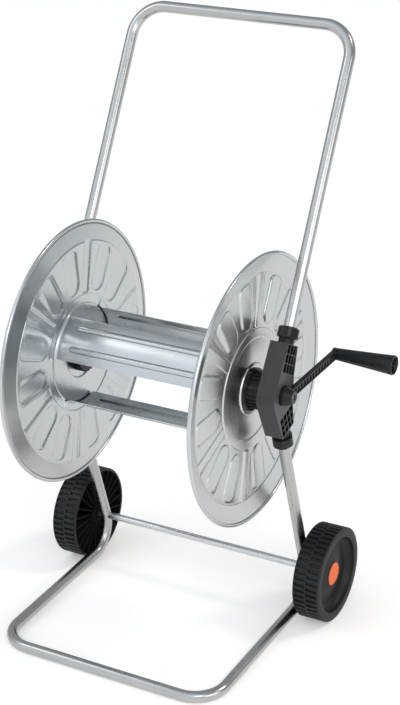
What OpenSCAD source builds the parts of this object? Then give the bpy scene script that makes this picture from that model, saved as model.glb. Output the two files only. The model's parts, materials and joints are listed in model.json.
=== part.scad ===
// Hose reel cart: an open sheet metal drum between two pressed discs, turned by a crank,
// on a bent tube frame that stands on two wheels and its front bar.
// The reel axis runs along X with the crank at +X, and the handle leans back towards +Y.

/* [Discs] */
// Outer diameter of a side disc over its rolled rim
disc_d = 420; // [390:5:450]
// Distance between the rim planes of the two discs
rim_gap = 317; // [290:1:340]
// Thickness of the galvanised sheet
sheet = 1; // [0.8:0.1:1.2]
// Depth of the flat web behind the rim plane
dish = 7.5; // [5:0.5:9]
// Diameter of the rolled bead on the rim
rim_bead = 6; // [4:0.5:8]
// Outer diameter of the flat web, where the slope to the rim starts
web_d = 354; // [340:2:360]
// Height of the small step at the edge of the web
web_step = 1.25; // [1:0.05:1.4]
// Rise of the flat ring that backs the drum plates
collar_rise = 1.2; // [0.9:0.1:1.6]
// Distance that the backing ring runs out past the plates' flanges
collar_edge = 2; // [1.5:0.5:3]
// Diameter of the raised centre that seats the hub
centre_d = 78; // [72:1:84]
// Rise of the raised centre
centre_rise = 2; // [1:0.5:3]

/* [Pressed pattern] */
// Number of radial ribs in a disc
rib_count = 6; // [4:1:6]
// Angle of the first rib, from the rear towards the top
rib_angle = 20; // [0:1:59]
// Width of a rib
rib_w = 19; // [14:1:22]
// Distance from the backing ring to the inner ends of the ribs
rib_gap = 2; // [1.5:0.5:4]
// Distance that a rib runs out past the web
rib_over = 3; // [2:0.5:4]
// Width of a petal
petal_w = 37; // [30:1:38]
// Angle from a rib to the petal beside it
petal_turn = 18; // [17:0.5:19]
// Distance from the backing ring to the inner ends of the petals
petal_gap = 6; // [4:0.5:8]
// Distance from the outer ends of the petals to the edge of the web
petal_edge = 3; // [2:0.5:8]
// Radius of a petal's outer corners
petal_corner = 12; // [8:1:14]
// Height that ribs and petals are pressed out
press_rise = 1.5; // [1.2:0.1:2]

/* [Drum] */
// Outer diameter of the drum plates
drum_d = 159; // [152:1:166]
// Number of drum plates, each followed by a gap
plate_count = 3; // [2:1:4]
// Arc that one plate covers, in degrees
plate_arc = 53; // [46:1:60]
// Width of the flange at a plate's end
flange_w = 11.5; // [9:0.5:13]
// Radius of the bend from plate to flange
flare_r = 3; // [2.5:0.5:4]
// Width of a stiffening bead in a plate
bead_w = 8; // [6:0.5:9]
// Height of a stiffening bead
bead_h = 2; // [1.5:0.5:2.5]
// Angle from a plate's middle line to each of its two beads
bead_turn = 12.5; // [10:0.5:14]
// Distance from a disc's web to the ends of the beads
bead_end = 26; // [20:1:40]

/* [Hub] */
// Height of the reel axis above the ground
axis_h = 430; // [415:1:450]
// Outer diameter of the hub thread that passes through a disc
hub_thread_d = 40; // [36:1:44]
// Outer diameter of a hub flange and its ring nut over their grip ribs
hub_d = 58; // [54:1:62]
// Number of grip ribs on a hub flange and on a ring nut
hub_ribs = 24; // [16:1:28]
// Width of a grip rib
hub_rib_w = 3; // [2:0.5:4]
// Height of a grip rib
hub_rib_h = 2; // [1.5:0.5:3]
// Length of a hub flange inside the drum
hub_flange_l = 15; // [13:1:22]
// Diameter of the thin flange at the foot of a ring nut
nut_flange_d = 66; // [62:1:72]
// Thickness of that flange
nut_flange_t = 3; // [2:0.5:4]
// Diameter of the journals that turn in the brackets
journal_d = 26; // [24:1:28]
// Wall of the bearing bushes
bush_wall = 3; // [2:0.5:4]
// Width across the flats of the square that drives the reel
drive_w = 14; // [12:0.5:15]
// Length of the square that drives the reel
drive_l = 10; // [8:1:12]

/* [Frame] */
// Outer diameter of the frame tube
tube_d = 18; // [16:0.5:20]
// Wall of the frame tube
tube_wall = 1.5; // [1.2:0.1:2]
// Distance from a disc's rim plane to the middle of the frame tube beside it
side_gap = 30; // [29:0.5:36]
// Lean of the handle from upright, in degrees
handle_lean = 28.1; // [24:0.1:32]
// Distance along the handle from the reel axis to the middle of its cross bar
handle_len = 560; // [500:5:620]
// Bend radius of the handle's corners, at the middle of the tube
handle_bend = 50; // [40:1:60]
// Lean of the legs from upright, in degrees
leg_lean = 18; // [16:0.5:20]
// Height of the point where the middle lines of a leg and its floor run meet
heel_h = 22; // [18:1:26]
// Bend radius between a leg and its floor run
heel_bend = 46; // [40:1:50]
// Distance from the reel axis forwards to the middle of the front bar
toe_reach = 208; // [190:1:230]
// Bend radius of the front corners
toe_bend = 50; // [40:1:60]
// Loss of radius in the bends of the tube
bend_thin = 0.05; // [0.05:0.05:0.2]

/* [Brackets] */
// Width of a bracket along the reel axis
bracket_w = 30; // [28:1:31]
// Distance from the reel axis to the end face of the upper limb
upper_l = 76; // [72:1:80]
// Distance from the reel axis to the end face of the lower limb
lower_l = 68; // [66:1:76]
// Distance from a tube's middle line to the front of its limb
limb_front = 23; // [21:0.5:25]
// Distance from the handle's middle line to the rear of the upper limb's end
limb_rear = 12.5; // [12:0.5:15]
// Distance from a leg's middle line to the rear of the lower limb's end
leg_limb_rear = 15.5; // [13:0.5:17]
// Radius of the nose in front of the reel axis
nose_r = 20; // [17:0.5:22]
// Distance from the reel axis to the front of the nose
nose_reach = 31.5; // [29:0.5:34]
// Distance from the reel axis to the upper corner in the bracket's rear edge
rear_reach = 34.5; // [33:0.5:36]
// Height of that corner above the reel axis
rear_corner = 20; // [16:1:24]
// Distance from the reel axis to the lower corner in the rear edge
heel_reach = 32; // [30:0.5:34]
// Depth of that corner below the reel axis
heel_corner = 27; // [24:1:30]
// Wall round the cells in the outer face
cell_wall = 1.6; // [1.4:0.1:2]
// Floor below the cells
cell_floor = 2.5; // [2:0.1:3]
// Thickness of the ribs between the cells
cell_rib = 1.3; // [1.2:0.1:1.8]
// Distance from one lengthwise rib to the next
cell_pitch = 10; // [9.5:0.1:10.5]
// Distance from the reel axis to the first row of cells
cell_start = 33; // [32:0.5:35]
// Number of rows of cells in each limb
cell_rows = 3; // [2:1:4]
// Number of cells across a limb
cell_cols = 4; // [3:1:4]
// Depth of the slot in the front side of the upper limb
slot_h = 0.8; // [0.5:0.1:1]
// Width of that slot
slot_w = 3; // [2:0.5:4]
// Length of that slot
slot_l = 26; // [20:1:32]
// Distance from the reel axis to the ends of the tubes in their sockets
socket_start = 42; // [38:1:46]
// Wall of a tube socket inside a limb
socket_wall = 2; // [1.6:0.1:2.9]

/* [Tube nuts] */
// Outer diameter of the threaded neck on each limb
neck_d = 24; // [23.5:0.5:25]
// Length of the plain neck between the upper limb and its nut
upper_neck = 8; // [6:0.5:12]
// Length of the plain neck between the lower limb and its nut
lower_neck = 15.5; // [12:0.5:18]
// Width of a tube nut across its corners
nut_d = 36; // [34:0.5:38]
// Length of a tube nut
nut_l = 18; // [17:0.5:22]
// Depth of the thread inside a tube nut
nut_thread_l = 10; // [9:0.5:12]
// Thickness of a tube nut's end wall
nut_end = 3; // [2.5:0.5:4]
// Bevel round the end of a tube nut
nut_bevel = 3; // [2:0.5:3.5]
// Depth of the flats that cut off a tube nut's corners
nut_corner = 1.4; // [1:0.1:1.8]
// Width of the slit in a clamp ring
slit_w = 2; // [1:0.5:3]

/* [Crank] */
// Distance from the reel axis to the grip's axis
crank_r = 142; // [120:1:150]
// Rest angle of the crank arm above the rearward direction
crank_angle = 7; // [0:1:15]
// Distance from a bracket's outer face to the outer face of the arm's end under the grip
crank_reach = 22.5; // [20:0.5:26]
// Distance that the arm slants outwards from the reel axis to the grip
arm_rise = 12.5; // [10:0.5:13]
// Distance from a bracket's outer face to the end of the crank's boss
boss_reach = 17.5; // [16.5:0.5:20]
// Diameter of the crank's collar against the bracket
collar_d = 31; // [29:0.5:33]
// Length of the crank's collar
collar_l = 5; // [4:0.5:7]
// Diameter of the crank's boss at the arm
boss_d = 20; // [20:0.5:24]
// Width of the crank arm
arm_w = 14; // [10:0.5:16]
// Thickness of the crank arm
arm_t = 7.5; // [6:0.5:9]
// Depth of the pockets in the arm's outer face
pocket_h = 1.5; // [1:0.5:3]
// Wall beside those pockets
pocket_wall = 1.8; // [1.5:0.1:2.5]
// Thickness of the ribs between those pockets
pocket_rib = 1.2; // [1:0.1:2]
// Number of those pockets
pocket_count = 14; // [8:1:16]
// Diameter of the arm's round end under the grip
arm_end_d = 19; // [17:0.5:22]
// Length of the grip
grip_l = 94; // [85:1:105]
// Diameter of the grip at the arm
grip_in_d = 19.5; // [17:0.5:21]
// Diameter of the grip at its free end
grip_out_d = 31; // [28:0.5:34]
// Wall of the grip at its free end
grip_wall = 2.5; // [2:0.1:3]
// Diameter of the pin that the grip turns on
pin_d = 10; // [8:0.5:11]
// Length of the grip's bearing on the pin
grip_bore_l = 28; // [22:1:34]
// Height of the snap rim at the end of the pin
snap_h = 1.2; // [0.8:0.1:1.6]
// Length of the snap head at the end of the pin
snap_l = 6; // [5:0.5:8]

/* [Wheels] */
// Diameter of a wheel
wheel_d = 155; // [150:1:160]
// Width of a wheel
wheel_w = 44; // [40:1:48]
// Gap between the frame tube and a wheel
wheel_gap = 5.2; // [4:0.1:7]
// Diameter of the axle
axle_d = 12; // [10:0.5:12]
// Thickness of the tread wall
tread_wall = 5; // [4:0.5:6]
// Depth of the tread grooves
groove_h = 3; // [1.5:0.5:3]
// Width of a tread groove
groove_w = 4.5; // [3:0.5:5]
// Number of tread grooves in each of the two rows
groove_count = 48; // [36:1:52]
// Slant of the tread grooves, in degrees
groove_slant = 2.5; // [0:0.5:8]
// Width of the plain band between the two rows of grooves
groove_land = 2; // [1:0.5:4]
// Width of the plain edge outside each row of grooves
groove_edge = 2.5; // [1.5:0.5:4]
// Width of the flat band on the wheel's outer face
band_w = 15.5; // [13:0.5:17]
// Thickness of the wheel's dished shell
shell = 4; // [3:0.5:5]
// Depth of the dish at its lowest ring
dish_depth = 13; // [10:0.5:15]
// Diameter of the lowest ring of the dish
dish_d = 100; // [90:1:104]
// Outer diameter of a wheel's hub
wheel_hub_d = 34; // [32:0.5:37]
// Number of radial ribs inside a wheel
spoke_count = 24; // [16:1:30]
// Thickness of a radial rib inside a wheel
spoke_t = 2; // [1.5:0.5:3]
// Diameter of a wheel cap
cap_d = 38; // [36:0.5:39]
// Depth of a cap's face behind the wheel's outer face
cap_depth = 7; // [6:0.5:8]
// Thickness of a cap's face
cap_t = 2.3; // [2:0.1:3]
// Diameter of the pocket that holds the axle's end
pocket_d = 27; // [25:0.5:28]
// Depth of that pocket behind the cap
pocket_l = 7; // [6:0.5:8]
// Wall of the ring that holds a cap in its pocket
cap_ring = 1.8; // [1.5:0.1:2]
// Diameter of the push nuts on the axle
push_nut_d = 20; // [18:0.5:21]
// Thickness of the push nuts
push_nut_t = 1.5; // [1:0.1:2]
// Outer diameter of the spacers beside the wheels
spacer_d = 20; // [18:0.5:24]

/* [Water way] */
// Bore of the water way
water_d = 12; // [10:0.5:13]
// Diameter of the spigots that seal in the hubs
spigot_d = 17; // [16:0.5:18]
// Length of the inlet's spigot
inlet_spigot_l = 19; // [16:1:22]
// Length of the outlet's spigot
outlet_spigot_l = 10; // [8:1:12]
// Cord diameter of the sealing rings
seal_d = 2.4; // [2:0.1:2.6]
// Outer diameter of the inlet thread
inlet_thread_d = 26.4; // [25:0.1:28]
// Length of the inlet thread
inlet_thread_l = 14; // [12:1:18]
// Outer diameter of the inlet's round body
inlet_body_d = 30; // [28:1:32]
// Length of that body past its flange
inlet_body_l = 32; // [30:1:36]
// Distance from the reel axis down to the end of the inlet
inlet_drop = 44; // [40:1:50]
// Thickness of the inlet's flange
inlet_flange_t = 4; // [3:0.5:5]
// Distance from the reel axis to the two screws of the inlet
inlet_screw_r = 22; // [21:0.5:23]
// Angle of those screws
inlet_screw_angle = 150; // [140:1:160]
// Shank diameter of the screws
screw_d = 4; // [3:0.5:4]
// Length of a screw in its bracket
screw_l = 14; // [10:1:18]
// Outer diameter of the outlet's round body inside the drum
outlet_body_d = 24; // [22:1:26]
// Outer diameter of the tail that the hose is pushed on
tail_d = 13; // [12:0.5:14]
// Length of the plain tail
tail_l = 20; // [16:1:24]
// Wall of the tail
tail_wall = 2; // [1.5:0.1:2.5]
// Lead-in at the end of the tail
tail_lead = 0.8; // [0.5:0.1:1.2]
// Rim of the collar that stops the hose at the foot of the tail
tail_stop = 2; // [1:0.5:3]
// Height of that collar over the round body
tail_foot = 1; // [0.5:0.5:2]
// Angle of the tail, towards the gap between two plates
tail_angle = 320; // [310:1:330]

/* [Clearances] */
// Radial clearance of a part that turns on another
run_gap = 0.08; // [0.05:0.01:0.1]
// Clearance round a part that is fixed in another
fit_gap = 0.1; // [0.05:0.01:0.15]
// Gap between the end faces of parts that move past each other
face_gap = 0.3; // [0.2:0.05:0.4]

/* [Hidden] */
$fn = 72;
over = 1;
bend_lap = 0.5;

disc_r = disc_d / 2;
rim_x = rim_gap / 2;
web_x = rim_x - dish;
web_r = web_d / 2;
drum_r = drum_d / 2;
flange_r = drum_r + flange_w;
collar_in = drum_r + 0.5;
collar_out = flange_r + collar_edge;
centre_r = centre_d / 2;
seat_x = web_x + centre_rise;
hub_hole_r = hub_thread_d / 2 + fit_gap;

tube_r = tube_d / 2;
tube_x = rim_x + side_gap;
bracket_in = tube_x - bracket_w / 2;
bracket_out = tube_x + bracket_w / 2;
journal_r = journal_d / 2;
bush_r = journal_r + run_gap + bush_wall;
boss_x = bracket_out + boss_reach;
arm_x = bracket_out + crank_reach;
grip_x = arm_x + face_gap;
grip_end = grip_x + grip_l;

wheel_r = wheel_d / 2;
wheel_in = tube_x + tube_r + wheel_gap;
wheel_out = wheel_in + wheel_w;
axle_z = wheel_r;
axle_y = (axis_h - axle_z) * tan(leg_lean);
heel_y = (axis_h - heel_h) * tan(leg_lean);
cap_z = wheel_w - cap_depth;
cap_back = cap_z - cap_t;
pocket_z = cap_back - pocket_l;
axle_end = wheel_in + pocket_z + face_gap + push_nut_t + 1;

// Directions of the handle and the legs, seen along the reel axis as [rearward, upward]
handle_dir = [sin(handle_lean), cos(handle_lean)];
leg_dir = [sin(leg_lean), -cos(leg_lean)];

// Middle of the whole cart, which is put over the origin
handle_y = handle_len * handle_dir[0];
rear_y = max(handle_y + tube_r, axle_y + wheel_r);
front_y = -toe_reach - tube_r;
mid_x = (grip_end - wheel_out) / 2;
mid_y = (rear_y + front_y) / 2;

// Vector help for pieces that lie along a given direction
function unit(v) = v / norm(v);
function across(d) = unit(cross(d, abs(d[0]) < 0.9 ? [1, 0, 0] : [0, 1, 0]));
function frame_of(o, x, y, z) = [
    [x[0], y[0], z[0], o[0]], [x[1], y[1], z[1], o[1]], [x[2], y[2], z[2], o[2]], [0, 0, 0, 1]
];

// Stands its children on point o with their Z axis along d
module along(o, d) {
    z = unit(d);
    x = across(z);
    multmatrix(frame_of(o, x, cross(z, x), z)) children();
}

// The cart's own frame, with the reel axis over Y = 0 before it is centred
module cart() {
    translate([-mid_x, -mid_y, 0]) children();
}

// The reel's frame: Z along the reel axis towards the crank, X rearward, Y upward
module reel() {
    cart() translate([0, 0, axis_h]) rotate([90, 0, 90]) children();
}

// The axle's frame: Z along the axle, X rearward, Y upward
module axle_frame() {
    cart() translate([0, axle_y, axle_z]) rotate([90, 0, 90]) children();
}

module ring(outer_r, inner_r, l) {
    difference() {
        cylinder(r = outer_r, h = l);
        translate([0, 0, -over]) cylinder(r = inner_r, h = l + 2 * over);
    }
}

// Bent rod through the points, with a bend radius at each. A bend is drawn a hair thinner than the
// straight lengths and starts a little inside them, as the tube thins when it is bent.
function turn_at(p, i) = acos(unit(p[i] - p[i - 1]) * unit(p[i + 1] - p[i]));
function tangent_at(p, bends, i) =
    i == 0 || i == len(p) - 1 ? 0 : bends[i] * tan(turn_at(p, i) / 2);

module rod_path(p, bends, r) {
    for (i = [0 : len(p) - 2]) {
        d = unit(p[i + 1] - p[i]);
        t0 = tangent_at(p, bends, i);
        t1 = tangent_at(p, bends, i + 1);
        along(p[i] + d * t0, d) cylinder(r = r, h = norm(p[i + 1] - p[i]) - t0 - t1);
    }
    for (i = [1 : len(p) - 2]) {
        u = unit(p[i] - p[i - 1]);
        v = unit(p[i + 1] - p[i]);
        w = unit(v - u * (u * v));
        centre = p[i] - u * tangent_at(p, bends, i) + w * bends[i];
        lap = atan(bend_lap / bends[i]);
        multmatrix(frame_of(centre, -w, u, cross(-w, u))) rotate([0, 0, -lap])
            rotate_extrude(angle = turn_at(p, i) + 2 * lap)
                translate([bends[i], 0]) circle(r = r - bend_thin);
    }
}

// Same path with its two open ends drawn out, for the bore
function drawn_out(p) = [
    for (i = [0 : len(p) - 1])
        i == 0 ? p[0] - unit(p[1] - p[0]) * over
        : i == len(p) - 1 ? p[i] + unit(p[i] - p[i - 1]) * over
        : p[i]
];

module bent_tube(p, bends) {
    difference() {
        rod_path(p, bends, tube_r);
        rod_path(drawn_out(p), bends, tube_r - tube_wall);
    }
}

// A point on the handle or leg line, from its distance s along direction d
function on_line(side, d, s) = [side * tube_x, d[0] * s, axis_h + d[1] * s];

module handle_tube() {
    color("silver") cart() bent_tube(
        [
            on_line(-1, handle_dir, socket_start), on_line(-1, handle_dir, handle_len),
            on_line(1, handle_dir, handle_len), on_line(1, handle_dir, socket_start)
        ],
        [0, handle_bend, handle_bend, 0]
    );
}

module base_tube() {
    p = [
        on_line(-1, leg_dir, socket_start), [-tube_x, heel_y, heel_h], [-tube_x, -toe_reach, tube_r],
        [tube_x, -toe_reach, tube_r], [tube_x, heel_y, heel_h], on_line(1, leg_dir, socket_start)
    ];
    color("silver") cart() difference() {
        bent_tube(p, [0, heel_bend, toe_bend, toe_bend, heel_bend, 0]);
        translate([-wheel_in, axle_y, axle_z]) rotate([0, 90, 0])
            cylinder(r = axle_d / 2 + fit_gap, h = 2 * wheel_in);
    }
}

// Bracket outline in the reel's frame, with X rearward and Y upward
function limb_point(d, s, t) = d * s + t * sign(d[1]) * [d[1], -d[0]];
function tangent_point(p, c, r, side) = let (
    a = atan2(p[1] - c[1], p[0] - c[0]),
    b = acos(r / norm(p - c))
) c + r * [cos(a + side * b), sin(a + side * b)];

nose = [nose_r - nose_reach, -2];
upper_front = limb_point(handle_dir, upper_l, -limb_front);
upper_rear = limb_point(handle_dir, upper_l, limb_rear);
lower_front = limb_point(leg_dir, lower_l, -limb_front);
lower_rear = limb_point(leg_dir, lower_l, leg_limb_rear);
first_rib = limb_front - cell_wall;
upper_corner = [rear_reach, rear_corner];
lower_corner = [heel_reach, -heel_corner];

module bracket_outline() {
    translate(nose) circle(r = nose_r);
    polygon([
        upper_front, upper_rear, upper_corner, lower_corner, lower_rear, lower_front,
        tangent_point(lower_front, nose, nose_r, -1), nose, tangent_point(upper_front, nose, nose_r, 1)
    ]);
}

// The cells of one limb, as a grid inside the limb's outline. The last column's rear side follows
// the limb's rear edge, from the corner k at its root to the end of the limb.
module limb_cells(d, l, rear, k) {
    normal = sign(d[1]) * [d[1], -d[0]];
    slope = (rear - k * normal) / (l - k * d);
    row = (l - cell_wall - cell_start + cell_rib) / cell_rows;
    for (i = [0 : cell_rows - 1], j = [0 : cell_cols - 1]) {
        s0 = cell_start + i * row;
        s1 = s0 + row - cell_rib;
        t0 = j * cell_pitch - first_rib + (j == 0 ? 0 : cell_rib / 2);
        t1 = (j + 1) * cell_pitch - first_rib - cell_rib / 2;
        last = j == cell_cols - 1;
        r0 = last ? rear + slope * (s0 - l) - cell_wall : t1;
        r1 = last ? rear + slope * (s1 - l) - cell_wall : t1;
        polygon([
            limb_point(d, s0, t0), limb_point(d, s1, t0), limb_point(d, s1, r1), limb_point(d, s0, r0)
        ]);
    }
}

module bracket() {
    limbs = [
        [handle_dir, upper_l, upper_neck, limb_rear, upper_corner],
        [leg_dir, lower_l, lower_neck, leg_limb_rear, lower_corner]
    ];
    difference() {
        union() {
            translate([0, 0, bracket_in]) linear_extrude(bracket_w) bracket_outline();
            for (limb = limbs) {
                d = [limb[0][0], limb[0][1], 0];
                along([0, 0, tube_x] + d * (limb[1] - over), d)
                    cylinder(r = neck_d / 2, h = limb[2] + nut_thread_l + over);
            }
        }
        difference() {
            for (limb = limbs)
                translate([0, 0, bracket_in + cell_floor]) linear_extrude(bracket_w)
                    limb_cells(limb[0], limb[1], limb[3], limb[4]);
            for (limb = limbs) {
                d = [limb[0][0], limb[0][1], 0];
                along([0, 0, tube_x] + d * (socket_start - socket_wall), d)
                    cylinder(r = tube_r + fit_gap + socket_wall, h = limb[1] - socket_start + over);
            }
        }
        for (limb = limbs) {
            d = [limb[0][0], limb[0][1], 0];
            along([0, 0, tube_x] + d * socket_start, d)
                cylinder(r = tube_r + fit_gap, h = limb[1] + nut_l);
        }
        translate([0, 0, bracket_out - slot_w - 1]) linear_extrude(slot_w) polygon([
            limb_point(handle_dir, cell_start + 3, -limb_front - over),
            limb_point(handle_dir, cell_start + 3 + slot_l, -limb_front - over),
            limb_point(handle_dir, cell_start + 3 + slot_l, slot_h - limb_front),
            limb_point(handle_dir, cell_start + 3, slot_h - limb_front)
        ]);
        translate([0, 0, bracket_in - over]) cylinder(r = bush_r + fit_gap, h = bracket_w + 2 * over);
    }
}

module right_bracket() {
    color("dimgray") reel() bracket();
}

module left_bracket() {
    color("dimgray") reel() difference() {
        mirror([0, 0, 1]) bracket();
        for (i = [0, 1])
            rotate([0, 0, inlet_screw_angle + i * 180])
                translate([inlet_screw_r, 0, -bracket_out - over])
                    cylinder(r = screw_d / 2, h = screw_l + over);
    }
}

// The four places of a tube nut: side, limb direction and distance to the nut
module at_handle_nuts() {
    for (side = [-1, 1])
        cart() along(on_line(side, handle_dir, upper_l + upper_neck), [0, handle_dir[0], handle_dir[1]])
            children();
}

module at_leg_nuts() {
    for (side = [-1, 1])
        cart() along(on_line(side, leg_dir, lower_l + lower_neck), [0, leg_dir[0], leg_dir[1]])
            children();
}

module tube_nut() {
    difference() {
        intersection() {
            rotate([0, 0, 90]) cylinder(r = nut_d / 2, h = nut_l, $fn = 6);
            cylinder(r = (nut_d / 2 - nut_corner) / cos(30), h = nut_l, $fn = 6);
            union() {
                cylinder(r1 = nut_d / 2 - nut_bevel, r2 = nut_d / 2, h = nut_bevel);
                translate([0, 0, nut_bevel]) cylinder(r = nut_d / 2, h = nut_l - 2 * nut_bevel);
                translate([0, 0, nut_l - nut_bevel])
                    cylinder(r1 = nut_d / 2, r2 = nut_d / 2 - 2 * nut_bevel, h = nut_bevel);
            }
        }
        translate([0, 0, -over]) cylinder(r = neck_d / 2 + fit_gap, h = nut_l - nut_end + over);
        translate([0, 0, -over]) cylinder(r = tube_r + fit_gap, h = nut_l + 2 * over);
    }
}

module clamp_ring() {
    translate([0, 0, nut_thread_l + fit_gap]) difference() {
        ring(neck_d / 2, tube_r + fit_gap, nut_l - nut_end - nut_thread_l - 2 * fit_gap);
        translate([0, -slit_w / 2, -over]) cube([neck_d, slit_w, nut_l]);
    }
}

module handle_nuts() {
    color("#3a3c3e") at_handle_nuts() tube_nut();
}

module leg_nuts() {
    color("#3a3c3e") at_leg_nuts() tube_nut();
}

module handle_clamp_rings() {
    color("ivory") at_handle_nuts() clamp_ring();
}

module leg_clamp_rings() {
    color("ivory") at_leg_nuts() clamp_ring();
}

module bush() {
    translate([0, 0, bracket_in]) ring(bush_r, journal_r + run_gap, bracket_w);
}

module right_bush() {
    color("#2c2d2f") reel() bush();
}

module left_bush() {
    color("#2c2d2f") reel() mirror([0, 0, 1]) bush();
}

// Sheet section of a disc: radius across, distance from the reel's middle up
function disc_face() = [
    [hub_hole_r, seat_x], [centre_r, seat_x], [centre_r + centre_rise, web_x],
    [collar_in - collar_rise, web_x], [collar_in, web_x + collar_rise],
    [collar_out, web_x + collar_rise], [collar_out + collar_rise, web_x],
    [web_r, web_x], [web_r + web_step, web_x + web_step], [disc_r - rim_bead / 2, rim_x]
];

module disc_blank() {
    face = disc_face();
    rotate_extrude() {
        polygon(concat(face, [for (i = [len(face) - 1 : -1 : 0]) face[i] - [0, sheet]]));
        translate([disc_r - rim_bead / 2, rim_x]) circle(r = rim_bead / 2);
    }
}

// Plan of one rib and one petal, drawn in by the amount inset
module rib_plan(inset) {
    r0 = collar_out + rib_gap + inset;
    r1 = web_r + rib_over - inset;
    translate([r0, inset - rib_w / 2]) square([r1 - r0, rib_w - 2 * inset]);
}

module petal_plan(inset) {
    r0 = collar_out + petal_gap + inset;
    r1 = web_r - petal_edge - inset;
    half = petal_w / 2 - inset;
    corner = petal_corner - inset;
    translate([r0 + half, 0]) circle(r = half);
    translate([r0 + half, -half]) square([r1 - corner - r0 - half, 2 * half]);
    translate([r1 - corner - over, corner - half]) square([corner + over, 2 * (half - corner)]);
    for (side = [-1, 1])
        translate([r1 - corner, side * (half - corner)]) circle(r = corner);
}

module pattern(z, h, inset) {
    sector = 360 / rib_count;
    for (i = [0 : rib_count - 1]) rotate([0, 0, rib_angle + i * sector]) {
        translate([0, 0, z]) linear_extrude(h) rib_plan(inset);
        for (a = [petal_turn, sector - petal_turn])
            rotate([0, 0, a]) translate([0, 0, z]) linear_extrude(h) petal_plan(inset);
    }
}

module disc() {
    difference() {
        union() {
            disc_blank();
            pattern(web_x - sheet, sheet + press_rise, 0);
        }
        pattern(web_x - sheet - over, over + press_rise, sheet);
    }
}

module right_disc() {
    color("lightsteelblue") reel() disc();
}

module left_disc() {
    color("lightsteelblue") reel() mirror([0, 0, 1]) disc();
}

// Lengthwise section of a drum plate: radius across, distance along the axis up
module plate_section() {
    flange_x = web_x - sheet + collar_rise;
    bend_x = flange_x - sheet - flare_r;
    bend_r = drum_r + flare_r;
    translate([drum_r - sheet, -bend_x]) square([sheet, 2 * bend_x]);
    for (side = [0, 1]) mirror([0, side]) {
        translate([bend_r, flange_x - sheet]) square([flange_r - bend_r, sheet]);
        intersection() {
            translate([bend_r, bend_x]) difference() {
                circle(r = flare_r + sheet);
                circle(r = flare_r);
            }
            translate([bend_r - flare_r - sheet, bend_x]) square(flare_r + sheet);
        }
    }
}

// A long rod with round ends, which forms one side of a bead
module bead_rod(r) {
    bead_r = (bead_w * bead_w / 4 + bead_h * bead_h) / (2 * bead_h);
    half = web_x - bead_end - bead_r;
    for (a = [-bead_turn, bead_turn])
        rotate([0, 0, a]) translate([drum_r + bead_h - bead_r, 0, 0]) {
            translate([0, 0, -half]) cylinder(r = bead_r - r, h = 2 * half);
            for (side = [-1, 1]) translate([0, 0, side * half]) sphere(r = bead_r - r);
        }
}

module drum_plate(i) {
    color("gainsboro") reel() rotate([0, 0, rib_angle + i * 360 / plate_count]) difference() {
        union() {
            rotate([0, 0, -plate_arc / 2]) rotate_extrude(angle = plate_arc) plate_section();
            difference() {
                bead_rod(0);
                translate([0, 0, -web_x]) cylinder(r = drum_r - sheet / 2, h = 2 * web_x);
            }
        }
        bead_rod(sheet);
    }
}

module drum_plate_1() {
    drum_plate(0);
}

module drum_plate_2() {
    drum_plate(1);
}

module drum_plate_3() {
    for (i = [2 : plate_count - 1]) drum_plate(i);
}

module ribbed(l) {
    cylinder(r = hub_d / 2 - hub_rib_h, h = l);
    for (i = [0 : hub_ribs - 1]) rotate([0, 0, i * 360 / hub_ribs])
        translate([hub_d / 2 - 2 * hub_rib_h, -hub_rib_w / 2, 0])
            cube([2 * hub_rib_h, hub_rib_w, l]);
}

// Flange inside the drum, thread through the disc and journal through the bracket
module hub_body() {
    translate([0, 0, seat_x - sheet - hub_flange_l]) ribbed(hub_flange_l);
    translate([0, 0, seat_x - sheet - over])
        cylinder(r = hub_thread_d / 2, h = bracket_in - 2 * fit_gap - face_gap - seat_x + sheet);
    translate([0, 0, seat_x]) cylinder(r = journal_r, h = bracket_out - face_gap - seat_x);
}

module right_hub() {
    color("#2c2d2f") reel() difference() {
        union() {
            hub_body();
            translate([-drive_w / 2, -drive_w / 2, bracket_out - over])
                cube([drive_w, drive_w, drive_l + over]);
        }
        translate([0, 0, bracket_out + drive_l - screw_l]) cylinder(r = screw_d / 2, h = screw_l + over);
    }
}

module left_hub() {
    inner = seat_x - sheet - hub_flange_l;
    color("#2c2d2f") reel() mirror([0, 0, 1]) difference() {
        hub_body();
        translate([0, 0, inner - over]) cylinder(r = water_d / 2, h = bracket_out);
        translate([0, 0, inner - over])
            cylinder(r = spigot_d / 2 + fit_gap, h = outlet_spigot_l + face_gap + over);
        translate([0, 0, bracket_out - inlet_spigot_l - face_gap])
            cylinder(r = spigot_d / 2 + run_gap, h = inlet_spigot_l + over);
    }
}

module ring_nut() {
    translate([0, 0, seat_x]) difference() {
        union() {
            ribbed(bracket_in - face_gap - seat_x);
            cylinder(r = nut_flange_d / 2, h = nut_flange_t);
        }
        translate([0, 0, -over]) cylinder(r = hub_hole_r, h = bracket_w);
    }
}

module right_ring_nut() {
    color("#242527") reel() ring_nut();
}

module left_ring_nut() {
    color("#242527") reel() mirror([0, 0, 1]) ring_nut();
}

// Groove and ring of a seal on a spigot, with their middle at distance z
module seal_groove(z) {
    translate([0, 0, z - seal_d / 2]) ring(spigot_d, spigot_d / 2 - seal_d + fit_gap, seal_d);
}

module seal(z) {
    translate([0, 0, z]) rotate_extrude() translate([(spigot_d - seal_d) / 2 + fit_gap / 2, 0])
        circle(r = seal_d / 2 - fit_gap / 2);
}

inlet_seal_z = [for (i = [1, 2]) bracket_out - i * inlet_spigot_l / 3];
outlet_seal_z = seat_x - sheet - hub_flange_l + outlet_spigot_l / 2;

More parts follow.
